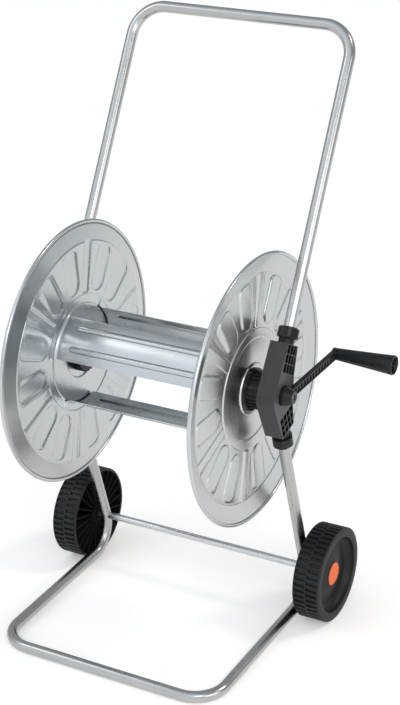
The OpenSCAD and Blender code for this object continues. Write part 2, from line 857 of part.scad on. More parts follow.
module inlet_elbow() {
    body_l = inlet_body_l;
    body_z = bracket_out + inlet_flange_t;
    color("#2c2d2f") reel() mirror([0, 0, 1]) difference() {
        union() {
            translate([0, 0, bracket_out - inlet_spigot_l])
                cylinder(r = spigot_d / 2, h = inlet_spigot_l + over);
            translate([0, 0, bracket_out]) cylinder(r = inlet_body_d / 2, h = inlet_flange_t + body_l);
            rotate([0, 0, inlet_screw_angle])
                translate([-inlet_screw_r, -screw_d, bracket_out])
                    cube([2 * inlet_screw_r, 2 * screw_d, inlet_flange_t]);
            for (i = [0, 1]) rotate([0, 0, inlet_screw_angle + i * 180])
                translate([inlet_screw_r, 0, bracket_out]) cylinder(r = screw_d, h = inlet_flange_t);
            translate([0, 0, body_z + body_l / 2]) rotate([90, 0, 0]) {
                cylinder(r = inlet_body_d / 2, h = inlet_drop - inlet_thread_l);
                cylinder(r = inlet_thread_d / 2, h = inlet_drop);
            }
        }
        for (z = inlet_seal_z) seal_groove(z);
        translate([0, 0, bracket_out - inlet_spigot_l - over])
            cylinder(r = water_d / 2, h = inlet_spigot_l + over + inlet_flange_t + body_l / 2);
        translate([0, 0, body_z + body_l / 2]) rotate([90, 0, 0])
            cylinder(r = water_d / 2, h = inlet_drop + over);
        for (i = [0, 1]) rotate([0, 0, inlet_screw_angle + i * 180])
            translate([inlet_screw_r, 0, bracket_out - over])
                cylinder(r = screw_d / 2 + fit_gap, h = inlet_flange_t + 2 * over);
    }
}

module inlet_seals() {
    color("black") reel() mirror([0, 0, 1]) for (z = inlet_seal_z) seal(z);
}

module pan_screw(l) {
    translate([0, 0, -l]) cylinder(r = screw_d / 2, h = l + over / 2);
    cylinder(r = screw_d - fit_gap, h = screw_d * 0.6);
}

module inlet_screws() {
    color("silver") reel() mirror([0, 0, 1])
        for (i = [0, 1]) rotate([0, 0, inlet_screw_angle + i * 180])
            translate([inlet_screw_r, 0, bracket_out + inlet_flange_t])
                pan_screw(screw_l + inlet_flange_t - over);
}

module hose_outlet() {
    inner = seat_x - sheet - hub_flange_l;
    body_l = outlet_body_d;
    bore_r = tail_d / 2 - tail_wall;
    foot = outlet_body_d / 2 + tail_foot;
    color("#2c2d2f") reel() mirror([0, 0, 1]) difference() {
        union() {
            translate([0, 0, inner - body_l]) cylinder(r = outlet_body_d / 2, h = body_l);
            translate([0, 0, inner - over]) cylinder(r = spigot_d / 2, h = outlet_spigot_l + over);
            rotate([0, 0, tail_angle]) translate([0, 0, inner - body_l / 2]) rotate([0, 90, 0]) {
                cylinder(r = tail_d / 2 + tail_stop, h = foot);
                cylinder(r = tail_d / 2, h = foot + tail_l);
                translate([0, 0, foot + tail_l])
                    cylinder(r1 = tail_d / 2, r2 = tail_d / 2 - tail_lead, h = 2 * tail_lead);
            }
        }
        seal_groove(outlet_seal_z);
        translate([0, 0, inner - body_l / 2]) cylinder(r = bore_r, h = outlet_spigot_l + body_l);
        rotate([0, 0, tail_angle]) translate([0, 0, inner - body_l / 2]) rotate([0, 90, 0])
            cylinder(r = bore_r, h = outlet_body_d + tail_l);
    }
}

module outlet_seal() {
    color("black") reel() mirror([0, 0, 1]) seal(outlet_seal_z);
}

// A slab along the crank arm from radius r0 to r1, w wide, between the depths a and b below the
// arm's slanted outer face
module arm_slab(r0, r1, w, a, b) {
    slope = arm_rise / crank_r;
    z0 = arm_x + slope * (r0 - crank_r);
    z1 = arm_x + slope * (r1 - crank_r);
    rotate([90, 0, 0]) translate([0, 0, -w / 2]) linear_extrude(w)
        polygon([[r0, z0 - b], [r1, z1 - b], [r1, z1 - a], [r0, z0 - a]]);
}

module arm_pockets() {
    start = boss_d / 2 + 3;
    pitch = (crank_r - arm_end_d / 2 - start) / pocket_count;
    w = arm_w - 2 * pocket_wall;
    for (i = [0 : pocket_count - 1])
        arm_slab(start + i * pitch, start + (i + 1) * pitch - pocket_rib, w, -over, pocket_h);
}

module crank() {
    base_x = bracket_out + face_gap;
    arm_z = arm_x - arm_t;
    pin_x = grip_x + grip_bore_l + face_gap;
    color("#2c2d2f") reel() rotate([0, 0, crank_angle]) difference() {
        union() {
            difference() {
                union() {
                    arm_slab(0, crank_r, arm_w, 0, arm_t);
                    translate([crank_r, 0, arm_z]) cylinder(r = arm_end_d / 2, h = arm_t);
                }
                arm_pockets();
            }
            translate([0, 0, base_x]) cylinder(r = collar_d / 2, h = collar_l);
            translate([0, 0, base_x + collar_l])
                cylinder(r1 = collar_d / 2 - 1, r2 = boss_d / 2, h = boss_x - base_x - collar_l);
            translate([crank_r, 0, arm_z]) cylinder(r = pin_d / 2, h = pin_x + snap_l - arm_z);
            translate([crank_r, 0, pin_x])
                cylinder(r1 = pin_d / 2 + snap_h, r2 = pin_d / 2 - snap_h, h = snap_l);
        }
        translate([0, 0, base_x - over]) rotate([0, 0, -crank_angle])
            translate([-drive_w / 2 - fit_gap, -drive_w / 2 - fit_gap, 0])
                cube([drive_w + 2 * fit_gap, drive_w + 2 * fit_gap, drive_l + face_gap + over]);
        translate([0, 0, base_x]) cylinder(r = screw_d / 2 + fit_gap, h = boss_reach + over);
        translate([0, 0, boss_x - screw_d]) cylinder(r = screw_d + fit_gap, h = screw_d + over);
        translate([crank_r - pin_d, -slit_w / 2, pin_x - grip_bore_l / 2])
            cube([2 * pin_d, slit_w, grip_bore_l]);
    }
}

module crank_screw() {
    color("silver") reel() translate([0, 0, boss_x - screw_d]) pan_screw(screw_l);
}

module grip() {
    bore_r = pin_d / 2 + run_gap;
    color("#2c2d2f") reel() rotate([0, 0, crank_angle]) translate([crank_r, 0, grip_x])
        rotate_extrude() polygon([
            [bore_r, 0], [grip_in_d / 2, 0], [grip_out_d / 2, grip_l - grip_wall],
            [grip_out_d / 2 - grip_wall / 2, grip_l], [grip_out_d / 2 - grip_wall, grip_l],
            [pin_d / 2 + snap_h + face_gap, grip_bore_l], [bore_r, grip_bore_l]
        ]);
}

module axle() {
    color("silver") axle_frame() translate([0, 0, -axle_end]) cylinder(r = axle_d / 2, h = 2 * axle_end);
}

module wheel_spacers() {
    color("#2c2d2f") axle_frame() for (side = [0, 1]) mirror([0, 0, side])
        translate([0, 0, tube_x + tube_r + fit_gap])
            ring(spacer_d / 2, axle_d / 2 + fit_gap, wheel_gap - fit_gap - face_gap);
}

module push_nuts() {
    color("silver") axle_frame() for (side = [0, 1]) mirror([0, 0, side])
        translate([0, 0, wheel_in + pocket_z + face_gap])
            ring(push_nut_d / 2, axle_d / 2 + fit_gap / 2, push_nut_t);
}

// Round corner of the dish, a quarter ellipse from its lowest ring out and up to the flat band
function dish_corner(a, w, z) = [dish_d / 2 + w * sin(a), z + dish_depth * (1 - cos(a))];

// Wheel section: radius across, distance from the wheel's inner face up
module wheel_section() {
    bore_r = axle_d / 2 + run_gap;
    hub_r = wheel_hub_d / 2;
    band_r = wheel_r - band_w;
    dish_r = dish_d / 2;
    dish_z = wheel_w - dish_depth;
    seat_r = cap_d / 2 + fit_gap;
    chamfer = 1.5;
    polygon(concat(
        [[bore_r, 0], [hub_r, 0], [hub_r, cap_z - shell - 1]],
        [for (a = [0 : 15 : 90]) dish_corner(a, band_r - dish_r + shell, dish_z - shell)],
        [
            [wheel_r - tread_wall, wheel_w - shell], [wheel_r - tread_wall, 0], [wheel_r - chamfer, 0],
            [wheel_r, chamfer], [wheel_r, wheel_w - chamfer], [wheel_r - chamfer, wheel_w]
        ],
        [for (a = [90 : -15 : 0]) dish_corner(a, band_r - dish_r, dish_z)],
        [
            [cap_d / 2 + 2, cap_z + 0.5], [seat_r, cap_z + 0.5], [seat_r, cap_back],
            [pocket_d / 2, cap_back], [pocket_d / 2, pocket_z], [bore_r, pocket_z]
        ]
    ));
}

module wheel() {
    groove_l = (wheel_w - groove_land) / 2 - groove_edge;
    translate([0, 0, wheel_in]) {
        difference() {
            rotate_extrude() wheel_section();
            for (row = [-1, 1], i = [0 : groove_count - 1])
                rotate([0, 0, (i + row / 4) * 360 / groove_count])
                    translate([wheel_r, 0, wheel_w / 2 + row * (groove_land + groove_l) / 2])
                        rotate([-groove_slant, 0, 0])
                            cube([2 * groove_h, groove_w, groove_l], center = true);
        }
        for (i = [0 : spoke_count - 1]) rotate([0, 0, i * 360 / spoke_count])
            translate([wheel_hub_d / 2 - 1, -spoke_t / 2, 1])
                cube([wheel_r - tread_wall - wheel_hub_d / 2 + 2, spoke_t, wheel_w - dish_depth - shell]);
    }
}

module right_wheel() {
    color("#202123") axle_frame() wheel();
}

module left_wheel() {
    color("#202123") axle_frame() mirror([0, 0, 1]) wheel();
}

module cap() {
    translate([0, 0, wheel_in + cap_back]) cylinder(r = cap_d / 2, h = cap_t);
    translate([0, 0, wheel_in + pocket_z + face_gap])
        ring(pocket_d / 2 - fit_gap, pocket_d / 2 - fit_gap - cap_ring, pocket_l - face_gap + over / 2);
}

module right_cap() {
    color("orangered") axle_frame() cap();
}

module left_cap() {
    color("orangered") axle_frame() mirror([0, 0, 1]) cap();
}

handle_tube();
base_tube();
left_bracket();
right_bracket();
handle_nuts();
leg_nuts();
handle_clamp_rings();
leg_clamp_rings();
left_bush();
right_bush();
inlet_elbow();
inlet_seals();
inlet_screws();
axle();
wheel_spacers();
push_nuts();
left_disc();
right_disc();
drum_plate_1();
drum_plate_2();
drum_plate_3();
left_hub();
right_hub();
left_ring_nut();
right_ring_nut();
hose_outlet();
outlet_seal();
crank();
crank_screw();
grip();
left_wheel();
right_wheel();
left_cap();
right_cap();
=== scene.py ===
"""Visible surfaces, finishes and stage of a hose reel cart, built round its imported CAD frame."""

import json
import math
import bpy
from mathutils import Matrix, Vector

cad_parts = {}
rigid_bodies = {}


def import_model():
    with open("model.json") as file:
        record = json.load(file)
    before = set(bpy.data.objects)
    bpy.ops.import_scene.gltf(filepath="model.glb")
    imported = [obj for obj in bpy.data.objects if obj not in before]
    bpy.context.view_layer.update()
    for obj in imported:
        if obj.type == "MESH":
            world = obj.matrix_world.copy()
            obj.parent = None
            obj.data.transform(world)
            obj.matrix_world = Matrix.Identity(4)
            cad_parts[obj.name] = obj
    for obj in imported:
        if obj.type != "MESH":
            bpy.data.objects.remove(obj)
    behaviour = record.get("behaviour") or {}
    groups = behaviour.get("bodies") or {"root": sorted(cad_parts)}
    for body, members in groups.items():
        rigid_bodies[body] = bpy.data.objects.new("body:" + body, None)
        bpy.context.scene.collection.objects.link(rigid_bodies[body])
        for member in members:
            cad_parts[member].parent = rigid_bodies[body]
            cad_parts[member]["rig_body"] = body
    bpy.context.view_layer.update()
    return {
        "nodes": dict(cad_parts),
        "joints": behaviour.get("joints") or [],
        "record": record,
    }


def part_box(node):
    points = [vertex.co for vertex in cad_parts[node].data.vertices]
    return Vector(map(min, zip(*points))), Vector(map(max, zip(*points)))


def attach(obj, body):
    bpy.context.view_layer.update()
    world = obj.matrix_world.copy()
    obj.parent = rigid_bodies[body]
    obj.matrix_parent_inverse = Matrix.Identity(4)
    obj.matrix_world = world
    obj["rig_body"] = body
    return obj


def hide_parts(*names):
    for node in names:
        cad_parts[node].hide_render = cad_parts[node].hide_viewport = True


bl_info = {
    "name": "Hose reel cart",
    "version": (1, 0, 0),
    "blender": (4, 5, 0),
    "location": "View3D > Sidebar > Hose cart",
    "description": "Builds the pressed sheet, tubes, mouldings and finishes of a hose reel cart",
    "category": "Add Mesh",
}

import bmesh
import bpy
import numpy as np
from mathutils import Matrix, Vector

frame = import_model()
JOINT_AT = {joint["name"]: joint["pos_m"] for joint in frame["joints"]}
REEL_AT = JOINT_AT["reel_spin"]
GRIP_AT = JOINT_AT["grip_spin"]
SIDES = {"left": -1, "right": 1}
WHEEL_AT = {side: JOINT_AT[side + "_wheel_spin"] for side in SIDES}
SLOTS = {entry["node"]: entry["material_slot"] for entry in frame["record"]["subparts"]}
WHITE = (1.0, 1.0, 1.0)
MM = 0.001
TURN = 2 * np.pi
MERGE = 0.002 * MM  # points closer than this become one
FAR = 1.0  # beyond every piece


# Sizes and colours that a user may change


def maker(kind, scale=1, **fixed):
    """A function that gives one kind of property from its name, description and default."""
    return lambda name, text, value: kind(name=name, description=text, default=value * scale, **fixed)


length = maker(bpy.props.FloatProperty, MM, unit="LENGTH", precision=4)
turn = maker(bpy.props.FloatProperty, math.radians(1), subtype="ANGLE")
share = maker(bpy.props.FloatProperty, min=0.0, soft_max=1.0, subtype="FACTOR")
number = maker(bpy.props.FloatProperty)
count = maker(bpy.props.IntProperty, min=1)
colour = maker(bpy.props.FloatVectorProperty, size=3, min=0.0, max=1.0, subtype="COLOR")
place = maker(bpy.props.FloatVectorProperty, size=3, subtype="TRANSLATION")
heading = maker(bpy.props.FloatVectorProperty, size=3, subtype="DIRECTION")


class ReelSizes(bpy.types.PropertyGroup):
    """Pressed discs and drum plates, measured from the middle of the reel's axis."""

    web_at: length("Web position", "Distance of a disc's flat web from the reel's middle", 151)
    sheet: length("Sheet", "Thickness of the galvanised sheet", 1)
    hole: length("Disc hole", "Radius of the hole in a disc", 20.1)
    centre: length("Raised centre", "Radius of the raised centre of a disc", 39)
    centre_rise: length("Centre rise", "Height of the raised centre", 2)
    ring_in: length("Backing ring inside", "Inner radius of the ring behind the drum plates", 80)
    ring_out: length("Backing ring outside", "Outer radius of the ring behind the drum plates", 93)
    ring_rise: length("Backing ring rise", "Height of the backing ring", 1.2)
    web: length("Web radius", "Radius where the flat web ends", 177)
    web_step: length("Web step", "Height of the step at the web's edge", 1.25)
    rim: length("Rim radius", "Radius of the middle of the rolled bead", 207)
    rim_rise: length("Rim rise", "Height of the rolled bead's middle above the web", 7.5)
    bead: length("Rim bead", "Radius of the rolled bead", 3)
    first_rib: turn("First rib", "Angle of the first rib and of the first drum plate", 20)
    rib_count: count("Ribs", "Number of radial ribs in a disc", 6)
    rib_half: length("Rib half width", "Half the width of a rib", 9.5)
    rib_in: length("Rib start", "Radius where the ribs start", 95)
    rib_out: length("Rib end", "Radius where the ribs end", 180)
    petal_turn: turn("Petal turn", "Angle from a rib to the petal beside it", 18)
    petal_half: length("Petal half width", "Half the width of a petal", 18.5)
    petal_in: length("Petal start", "Radius where the petals start", 99)
    petal_out: length("Petal end", "Radius where the petals end", 174)
    petal_corner: length("Petal corner", "Radius of a petal's outer corners", 12)
    rise: length("Pattern rise", "Height of the pressed ribs and petals", 1.5)
    ramp: length("Pattern ramp", "Width of the slope round a rib or petal", 1.9)
    drum: length("Drum radius", "Outer radius of the drum plates", 79.5)
    plate_count: count("Drum plates", "Number of drum plates", 3)
    plate_arc: turn("Plate arc", "Arc that one plate covers", 53)
    flange: length("Flange radius", "Outer radius of the drum plates' end flanges", 91)
    flare: length("Flange bend", "Radius of the bend from plate to flange", 6)
    bead_turn: turn("Bead turn", "Angle from a plate's middle to each bead", 12.5)
    bead_half: length("Bead half width", "Half the width of a stiffening bead", 4.3)
    bead_rise: length("Bead rise", "Height of a stiffening bead", 2)
    bead_end: length("Bead end", "Distance of a bead's end from the reel's middle", 125)
    neck: length("Rim crease", "Depth of the crease beside the rolled rim, on a disc's inner side", 0.35)


class FrameSizes(bpy.types.PropertyGroup):
    """Bent frame tubes and moulded brackets, measured from the reel's axis."""

    tube: length("Tube radius", "Outer radius of the frame tube", 9)
    tube_at: length("Tube position", "Distance of the side tubes from the reel's middle", 188.5)
    socket: length("Socket start", "Distance from the reel's axis to the tubes' ends", 42)
    handle_lean: turn("Handle lean", "Lean of the handle from upright", 28.1)
    handle_length: length("Handle length", "Distance from the reel's axis to the cross bar", 560)
    handle_bend: length("Handle bend", "Bend radius of the handle's corners", 50)
    leg_lean: turn("Leg lean", "Lean of the legs from upright", 18)
    heel: length("Heel height", "Height where leg and floor run meet", 22)
    heel_bend: length("Heel bend", "Bend radius between leg and floor run", 46)
    toe: length("Toe reach", "Distance of the front bar before the reel's axis", 208)
    toe_bend: length("Toe bend", "Bend radius of the front corners", 50)
    edge: length("Moulded edge", "Rounding of the mouldings' edges", 0.7)
    limb_up: length("Upper limb", "Distance from the reel's axis to the brackets' upper ends", 76)
    limb_down: length("Lower limb", "Distance from the reel's axis to the brackets' lower ends", 68)
    rear_up: length("Upper limb rear", "Reach of an upper limb's rear corner", 12.5)
    rear_down: length("Lower limb rear", "Reach of a lower limb's rear corner", 15.5)
    cell_from: length("Cell start", "Distance from the reel's axis to the open cells", 32.7)
    cell_front: length("Cell front", "Reach of the open cells towards the front", 21.7)
    cell_wall: length("Cell wall", "Wall between the outermost cells and a limb's end", 1.3)
    cell_depth: length("Cell depth", "Half the depth of a bracket", 14)
    limb_slope: share("Limb slope", "Slope of a limb's rear side towards its tube", 0.203)


class RollingSizes(bpy.types.PropertyGroup):
    """Grip, wheels and wheel caps."""

    grip: length("Grip length", "Length of the grip", 94)
    grip_in: length("Grip radius at the arm", "Radius of the grip beside the arm", 9.75)
    grip_out: length("Grip radius at the end", "Radius of the grip at its free end", 15.5)
    flute_count: count("Grip flutes", "Number of shallow flutes along the grip", 14)
    flute: length("Flute depth", "Depth of the grip's flutes", 0.6)
    wheel: length("Wheel radius", "Outer radius of a wheel", 77.5)
    width: length("Wheel width", "Width of a wheel", 44)
    groove_count: count("Grooves", "Number of tread grooves in each row", 48)
    groove: length("Groove depth", "Depth of a tread groove", 3)
    groove_half: length("Groove half width", "Half the width of a tread groove", 2.25)
    slant: turn("Groove slant", "Slant of the tread grooves", 2.5)
    band: length("Band", "Width of the flat band on the wheel's face", 15.5)
    dish: length("Dish radius", "Radius of the lowest ring of the dish", 50)
    dish_depth: length("Dish depth", "Depth of the dish", 13)
    hub: length("Wheel hub", "Outer radius of the wheel's hub", 17)
    spoke_count: count("Wheel ribs", "Number of radial ribs inside a wheel", 24)
    cap: length("Cap radius", "Radius of a wheel cap", 19)
    cap_at: length("Cap position", "Distance of the cap's face from the wheel's inner face", 37)
    cap_seat: length("Cap seat", "Distance of the cap's back from the wheel's inner face", 34.7)
    bore: length("Wheel bore", "Radius of the hole for the axle", 6.1)
    wall: length("Tread wall", "Thickness of the wall below the tread", 5)
    hollow: length("Wheel hollow", "Depth of the hollow inside a wheel", 29)


class Finishes(bpy.types.PropertyGroup):
    """Colours and gloss of the finishes."""

    sheet: colour("Sheet", "Colour of the galvanised sheet", (0.525, 0.543, 0.555))
    sheet_rough: share("Sheet roughness", "Roughness of the galvanised sheet", 0.25)
    # Painted shade: this darker colour goes into the discs' rim creases and along the drum beads' feet in
    # place of their shadow.
    crease: colour("Crease", "Colour of the sheet in its creases", (0.14, 0.14, 0.138))
    tube: colour("Tube", "Colour of the galvanised tube", (0.46, 0.455, 0.45))
    tube_rough: share("Tube roughness", "Roughness of the galvanised tube", 0.24)
    charcoal: colour("Charcoal", "Colour of the brackets", (0.051, 0.053, 0.055))
    # Painted shade: this near-black colour goes into the brackets' open cells and onto their necks in place
    # of their shadow.
    hollow: colour("Hollows", "Colour of the brackets' open cells and necks", (0.012, 0.012, 0.013))
    black: colour("Black", "Colour of nuts, hubs, crank and grip", (0.013, 0.013, 0.0145))
    wheel: colour("Wheel", "Colour of the wheels", (0.011, 0.011, 0.0115))
    plastic_gloss: share("Plastic gloss", "Strength of the dark plastics' reflections", 0.22)
    wheel_coat: share("Wheel gloss", "Strength of the reflections outside on a wheel", 0.52)
    hollow_coat: share("Hollow gloss", "Strength of the reflections inside a wheel", 0.12)
    cap: colour("Cap", "Colour of the wheel caps", (0.80, 0.125, 0.018))
    pale: colour("Pale", "Colour of clamp rings", (0.78, 0.75, 0.66))
    steel: colour("Steel", "Colour of axle and screws", (0.62, 0.62, 0.62))
    rubber: colour("Rubber", "Colour of the seals", (0.02, 0.02, 0.02))


class StageSettings(bpy.types.PropertyGroup):
    """Floor, light and camera."""

    floor: colour("Floor", "Colour of the floor", (0.97, 0.935, 0.91))
    glow: share("Floor glow", "Light that the floor gives off by itself", 0.25)
    sky: colour("Sky", "Colour of the sky's light", (0.88, 0.95, 1.0))
    sky_low: share("Sky strength", "Strength of the sky's darker part", 0.5)
    sky_high: share("Sky glow", "Strength of the sky's brightest part", 1.2)
    sky_from: heading("Sky direction", "Where the sky's brightest part is", (-0.2, -0.85, 0.45))
    sun: number("Sun", "Strength of the even directed light", 0.5)
    sun_tint: colour("Sun colour", "Colour of the even directed light", (1.0, 0.93, 0.84))
    sun_from: heading("Sun direction", "Where the even directed light comes from", (0.75, 0.5, 0.95))
    sun_blur: turn("Sun width", "Width of the sun, which softens its shadows", 12)
    azimuth: turn("Azimuth", "Camera's angle round the cart", 29.17)
    elevation: turn("Elevation", "Camera's angle above the horizon", 23.2)
    roll: turn("Roll", "Camera's turn about its own line of sight", -0.65)
    camera_at: place("Camera position", "Place of the camera", (1.21472, -2.15757, 1.5168))
    lens: number("Lens", "Focal length of the camera, in mm", 60.0)
    film: number("Film height", "Height of the camera's sensor, in mm", 24.0)
    reach: number("Floor reach", "Distance to the floor's edges, in metres", 14.0)


# Surfaces


def mm(*values):
    """Numbers or points that are given in millimetres, as an array in metres."""
    return np.array(values) * MM


def smooth(low, high, x):
    """0 below low, 1 above high, and the cubic 3t^2 - 2t^3 in between."""
    t = np.clip((x - low) / (high - low), 0, 1)
    return t * t * (3 - 2 * t)


def grid_faces(rows, columns):
    """Quads between neighbouring points of a grid whose points run row by row."""
    a, b = np.meshgrid(np.arange(rows - 1), np.arange(columns - 1), indexing="ij")
    first = (a * columns + b).ravel()
    return np.stack([first, first + columns, first + columns + 1, first + 1], -1)


def revolve(profile, angles, swell=None):
    """Profile points (radius, height) turned round the Z axis by the angles. swell(radius, height, angle)
    is added to the radius."""
    r, z, a = profile[:, :1] + 0 * angles, profile[:, 1:] + 0 * angles, 0 * profile[:, :1] + angles
    if swell is not None:
        r = r + swell(r, z, a)
    return np.stack([r * np.cos(a), r * np.sin(a), z], -1)


def full_turn(steps):
    return np.linspace(0, TURN, steps + 1)


def closed_sheet(points, thickness):
    """A sheet of the given thickness behind a grid of points: the grid's normals are the cross product of
    its two directions of travel, the back is the grid moved along them, and the rim joins the two."""
    normal = np.cross(np.gradient(points, axis=0), np.gradient(points, axis=1))
    normal /= np.linalg.norm(normal, axis=-1, keepdims=True)
    back = points - normal * thickness
    loop = np.concatenate([points, back[::-1], points[:1]])
    return [loop, *(np.stack([points[:, k], back[:, k]]) for k in (0, -1))]


def on_axis(points, at, side=1):
    """From a turned piece's own axes, X rearward, Y up and Z outwards on that side, to the cart's, with the
    piece's origin at the given place."""
    x, y, z = np.moveaxis(points, -1, 0)
    return np.stack([at[0] + side * z, at[1] + x, at[2] + y], -1)


def turned(points, angle):
    """Points turned by the angle round the Z axis."""
    c, s = math.cos(angle), math.sin(angle)
    x, y, z = np.moveaxis(points, -1, 0)
    return np.stack([c * x - s * y, s * x + c * y, z], -1)


def put(name, data):
    """A new object in the scene, at the origin."""
    made = bpy.data.objects.new(name, data)
    bpy.context.scene.collection.objects.link(made)
    return made


def merge_points(mesh, sharp, flatten=False):
    """Joins equal points and keeps the edges past the angle sharp. The flat faces of a CAD node's copy are
    joined, and any other mesh has its faces turned outwards."""
    edit = bmesh.new()
    edit.from_mesh(mesh)
    bmesh.ops.remove_doubles(edit, verts=edit.verts, dist=MERGE)
    if flatten:
        bmesh.ops.dissolve_limit(
            edit, angle_limit=math.radians(0.5), verts=edit.verts, edges=edit.edges, delimit={"NORMAL"}
        )
    else:
        bmesh.ops.recalc_face_normals(edit, faces=edit.faces)
    edit.to_mesh(mesh)
    edit.free()
    mesh.shade_smooth()
    mesh.set_sharp_from_angle(angle=math.radians(sharp))


def dress(node, mesh):
    """Gives a mesh the finish of a CAD node's slot, and no other."""
    mesh.materials.clear()
    mesh.materials.append(finish(SLOTS[node]))


def stand_in(node, mesh):
    """Shows a mesh instead of a CAD node, on the node's body and in its slot."""
    dress(node, mesh)
    piece = put(mesh.name, mesh)
    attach(piece, frame["nodes"][node]["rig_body"])
    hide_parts(node)
    return piece


def build(node, ending, patches, sharp=40, creases=None):
    """One mesh from several grids of points, closed where their points meet. Its UV map runs along the
    grids' two directions in metres, and creases gives, for each grid's points, its crease attribute: where
    a painted shade goes."""
    points, faces, lines, start = [], [], [], 0
    for patch in patches:
        rows, columns = patch.shape[:2]
        steps = [np.linalg.norm(np.diff(patch, axis=k), axis=-1).mean(1 - k) for k in (0, 1)]
        u, v = (np.concatenate([[0], np.cumsum(step)]) for step in steps)
        lines.append(np.stack(np.meshgrid(u, v, indexing="ij"), -1).reshape(-1, 2))
        points.append(patch.reshape(-1, 3))
        faces.append(grid_faces(rows, columns) + start)
        start += rows * columns
    points, faces, lines = np.concatenate(points), np.concatenate(faces), np.concatenate(lines)
    mesh = bpy.data.meshes.new(node + ending)
    mesh.from_pydata(points.tolist(), [], faces.tolist())
    uv = mesh.uv_layers.new(name="Along")
    uv.data.foreach_set("uv", lines[faces.ravel()].astype(np.float32).ravel())
    if creases is not None:
        depth = mesh.attributes.new("Crease", "FLOAT", "POINT")
        depth.data.foreach_set("value", np.concatenate([c.ravel() for c in creases]).astype(np.float32))
    merge_points(mesh, sharp)
    stand_in(node, mesh)


def soften(node, width):
    """A copy of a CAD node with its edges rounded."""
    mesh = frame["nodes"][node].data.copy()
    mesh.name = node + "_moulded"
    merge_points(mesh, 30, flatten=True)
    bevel = stand_in(node, mesh).modifiers.new("Rounded edges", "BEVEL")
    bevel.width, bevel.segments = width, 2
    bevel.limit_method, bevel.angle_limit = "ANGLE", math.radians(40)
    bevel.use_clamp_overlap = bevel.harden_normals = True


# Shader maths


class Wire:
    """An output socket of a shader's nodes. Python's operators on it add Math nodes."""

    def __init__(self, tree, socket):
        self.tree, self.socket = tree, socket

    def math(self, operation, *values):
        settings = {"operation": operation}
        return add_node(self.tree, "ShaderNodeMath", settings, dict(enumerate(values)))

    def __add__(self, other):
        return self.math("ADD", self, other)

    def __sub__(self, other):
        return self.math("SUBTRACT", self, other)

    def __rsub__(self, other):
        return self.math("SUBTRACT", other, self)

    def __mul__(self, other):
        return self.math("MULTIPLY", self, other)

    __radd__ = __add__
    __rmul__ = __mul__


def add_node(tree, kind, settings=None, sockets=None, out=0):
    """Adds a node, makes its settings first, then sets or links its sockets, and returns one output."""
    node = tree.nodes.new(kind)
    for key, value in (settings or {}).items():
        setattr(node, key, value)
    for key, value in (sockets or {}).items():
        if isinstance(value, Wire):
            tree.links.new(value.socket, node.inputs[key])
        elif node.inputs[key].type == "RGBA":
            node.inputs[key].default_value = (*value, 1)
        else:
            node.inputs[key].default_value = value
    return Wire(tree, node.outputs[out]) if node.outputs else node


class Nodes:
    """The nodes of a new material, or of a new world, with short ways to add to them."""

    def __init__(self, name, place="Object", kind="materials"):
        self.owner = getattr(bpy.data, kind).new(name)
        self.owner.use_nodes = True
        self.tree = self.owner.node_tree
        self.tree.nodes.clear()
        self.place = self.node("ShaderNodeTexCoord", out=place)

    def node(self, kind, settings=None, sockets=None, out=0):
        return add_node(self.tree, kind, settings, sockets, out)

    def noise(self, scale, detail, vector=None):
        """Noise from 0 to 1 with the given number of waves per metre."""
        sockets = {"Vector": vector or self.place, "Scale": scale, "Detail": detail}
        return self.node("ShaderNodeTexNoise", None, sockets, "Fac")

    def stretched(self, scale, vector=None):
        """The place scaled by its own number along each axis."""
        sockets = {"Vector": vector or self.place, "Scale": scale}
        return self.node("ShaderNodeMapping", None, sockets, "Vector")

    def spread(self, value, low, high, to_low=0.0, to_high=1.0):
        """Value moved from the range low to high to the range to_low to to_high, and held in it."""
        sockets = {"Value": value, "From Min": low, "From Max": high, "To Min": to_low, "To Max": to_high}
        return self.node("ShaderNodeMapRange", {"clamp": True}, sockets, "Result")

    def mix(self, factor, a, b):
        """Colour a where factor is 0 and b where it is 1."""
        return self.node("ShaderNodeMix", {"data_type": "RGBA"}, {0: factor, 6: a, 7: b}, 2)

    def swing(self, noise, low=0.0, high=1.0):
        """The middle range of a noise, moved to the range low to high."""
        return self.spread(noise, 0.3, 0.7, low, high)

    def vector_math(self, operation, *values, out="Vector"):
        return self.node("ShaderNodeVectorMath", {"operation": operation}, dict(enumerate(values)), out)

    def from_axis(self, at):
        """Distance from the line through a point that runs along X."""
        away = self.vector_math("SUBTRACT", self.place, at)
        away = self.vector_math("MULTIPLY", away, (0.0, 1.0, 1.0))
        return self.vector_math("LENGTH", away, out="Value")

    def from_reel(self, axis):
        """Place along one axis, measured from the reel's middle."""
        place = self.node("ShaderNodeSeparateXYZ", None, {"Vector": self.place}, axis)
        return place - REEL_AT["XYZ".index(axis)]

    def from_middle(self):
        """Distance from the reel's middle along X."""
        off = self.from_reel("X")
        return off.math("ABSOLUTE", off)

    def within(self, value, low, high, edge=0.3 * MM):
        """1 where the value lies between low and high, and 0 outside, with a short fade."""
        return self.spread(value, low - edge, low) * self.spread(value, high, high + edge, 1.0, 0.0)

    def bump(self, height, distance, strength):
        sockets = {"Height": height, "Distance": distance, "Strength": strength}
        return self.node("ShaderNodeBump", None, sockets, "Normal")

    def plastic(self, shade):
        """Flow clouds, a fine grain, and the shade varied by both."""
        cloud, fine = self.noise(45.0, 3.0), self.noise(2200.0, 2.0)
        tone = self.swing(cloud * 0.7 + fine * 0.3)
        return cloud, fine, self.mix(tone, scaled(shade, 0.9), scaled(shade, 1.1))

    def metal(self, base, roughness, normal):
        return self.surface(Base_Color=base, Roughness=roughness, Metallic=1.0, Normal=normal)

    def surface(self, **sockets):
        """Closes the material with a Principled shader."""
        named = {key.replace("_", " "): value for key, value in sockets.items()}
        shader = self.node("ShaderNodeBsdfPrincipled", None, named, "BSDF")
        self.node("ShaderNodeOutputMaterial", None, {"Surface": shader})
        return self.owner


def scaled(shade, factor):
    return tuple(min(1.0, c * factor) for c in shade)


